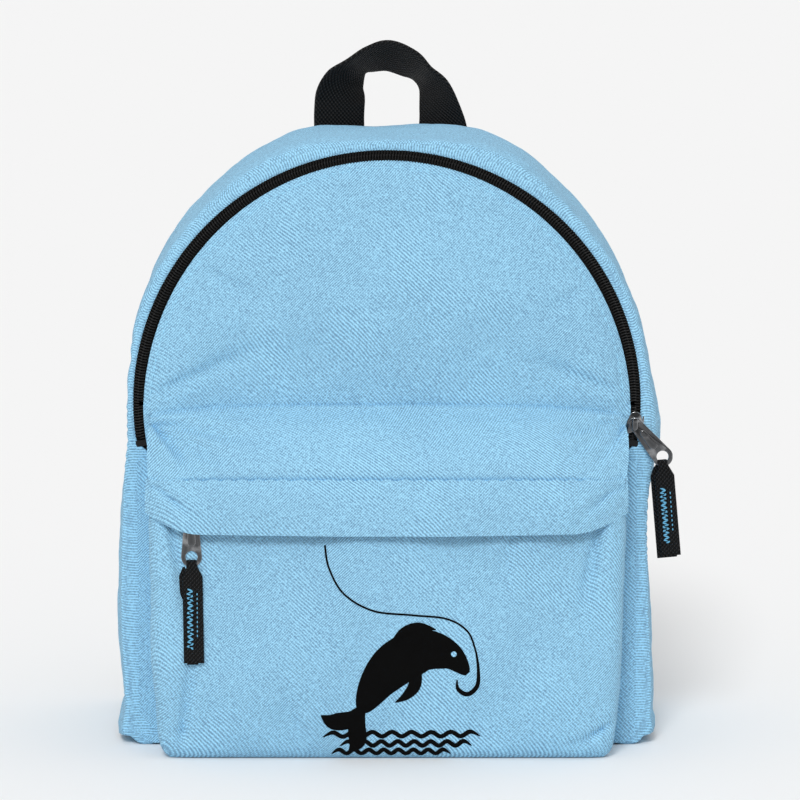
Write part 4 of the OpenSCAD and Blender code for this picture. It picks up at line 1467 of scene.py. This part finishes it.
    tab_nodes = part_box(f"strap_anchor_{side}")
    x0, x1 = (tab_nodes[0].x / MM, tab_nodes[1].x / MM)
    outer_x, inner_x = (x1, x0) if sign > 0 else (x0, x1)
    z0, z1 = tab_nodes[0].z / MM, tab_nodes[1].z / MM

    def tab(u, v):
        zl = z0 + 4 * (1 - u)
        zh = z1 - 18 * (1 - u)
        x = inner_x + (outer_x - inner_x) * u
        puff = 1.1 * math.sin(math.pi * clamp(u * 1.1)) * math.sin(math.pi * v)
        return Vector((x, BACK_Y + 1.6 + puff - 1.2 * smooth(u, 0.9, 1.0), zl + (zh - zl) * v))

    tab_piece = surface(f"strap_anchor_{side}_cloth", 24, 20, tab, front_cloth, flip=sign > 0, thickness=1.0)
    declare(tab_piece, "bag", "shell_cloth", f"strap_anchor_{side}")


def make_yoke():
    lo, hi = low("strap_yoke"), high("strap_yoke")

    def point(u, v):
        x = lo.x + (hi.x - lo.x) * u
        z = lo.z + (hi.z - lo.z) * v
        edge = min(u * (hi.x - lo.x), (1 - u) * (hi.x - lo.x), v * 15, (1 - v) * 15)
        y = BACK_Y + 1.6 + 1.3 * smooth(edge, 0, 2.0) + 0.25 * rough(x, 0, z, 10, 5)
        return Vector((x, y, z))

    strip = surface("strap_yoke_cloth", 90, 16, point, front_cloth, flip=True, thickness=1.2)
    rows = []
    for v in (0.16, 0.84):
        uvs = [(0.02 + 0.96 * k / 100, v) for k in range(101)]
        rows.append(stitches(f"yoke_row_{v}", on_surface(point, uvs, (0, 1, 0)), blue_thread))
    sewn = join("strap_yoke_stitches", rows)
    for piece in (strip, sewn):
        declare(piece, "bag", "shell_cloth")
    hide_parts("strap_yoke")


# ---------------------------------------------------------------- studio

def make_studio():
    mesh = bpy.data.meshes.new("studio_floor")
    mesh.from_pydata([(-60, -60, 0), (60, -60, 0), (60, 60, 0), (-60, 60, 0)], [], [[0, 1, 2, 3]])
    floor = add_object("studio_floor", mesh)
    material, nodes, links, shader = new_material("studio_floor")
    shader.inputs["Base Color"].default_value = (0.89, 0.89, 0.89, 1)
    shader.inputs["Roughness"].default_value = 1.0
    shader.inputs["Specular IOR Level"].default_value = 0.0
    mesh.materials.append(material)

    world = bpy.data.worlds.new("studio")
    world.use_nodes = True
    nodes, links = world.node_tree.nodes, world.node_tree.links
    split = nodes.new("ShaderNodeSeparateXYZ")
    links.new(nodes.new("ShaderNodeTexCoord").outputs["Generated"], split.inputs[0])
    ramp = nodes.new("ShaderNodeValToRGB")
    ramp.color_ramp.elements[0].position = 0.05
    ramp.color_ramp.elements[0].color = (0.19, 0.19, 0.19, 1)
    ramp.color_ramp.elements[1].position = 0.55
    ramp.color_ramp.elements[1].color = (0.65, 0.65, 0.65, 1)
    links.new(split.outputs["Z"], ramp.inputs[0])
    links.new(ramp.outputs[0], nodes["Background"].inputs[0])
    bpy.context.scene.world = world

    for name, towards, spread, power in (("key", (0.17, 1.0, -0.80), 16, 1.60),
                                         ("top", (-0.2, -0.15, -1.0), 60, 0.36)):
        data = bpy.data.lights.new(name, "SUN")
        data.angle = math.radians(spread)
        data.energy = power
        lamp = add_object(name, data)
        lamp.rotation_euler = Vector(towards).to_track_quat("-Z", "Y").to_euler()


def make_camera():
    """Long lens, a little above the bag, so that the top gusset just shows."""
    distance, elevation = 2.0, math.radians(7.7)
    seen = 0.3795
    aim = Vector((0.0062, FRONT_Y * MM, (ARCH_Z + 1.8) * MM))
    data = bpy.data.cameras.new("camera")
    data.sensor_width = 36
    data.lens = 36 * distance / seen
    camera = add_object("camera", data)
    camera.location = aim + Vector((0, -math.cos(elevation), math.sin(elevation))) * distance
    camera.rotation_euler = (aim - camera.location).to_track_quat("-Z", "Y").to_euler()
    bpy.context.scene.camera = camera
    bpy.context.scene.view_settings.view_transform = "Standard"


make_camera()
make_studio()
make_shell()
make_back()
make_front()
make_main_zip()
make_pocket()
make_pocket_zip()
make_sliders()
make_print()
make_handle()
make_yoke()
make_strap("left", -1)
make_strap("right", 1)
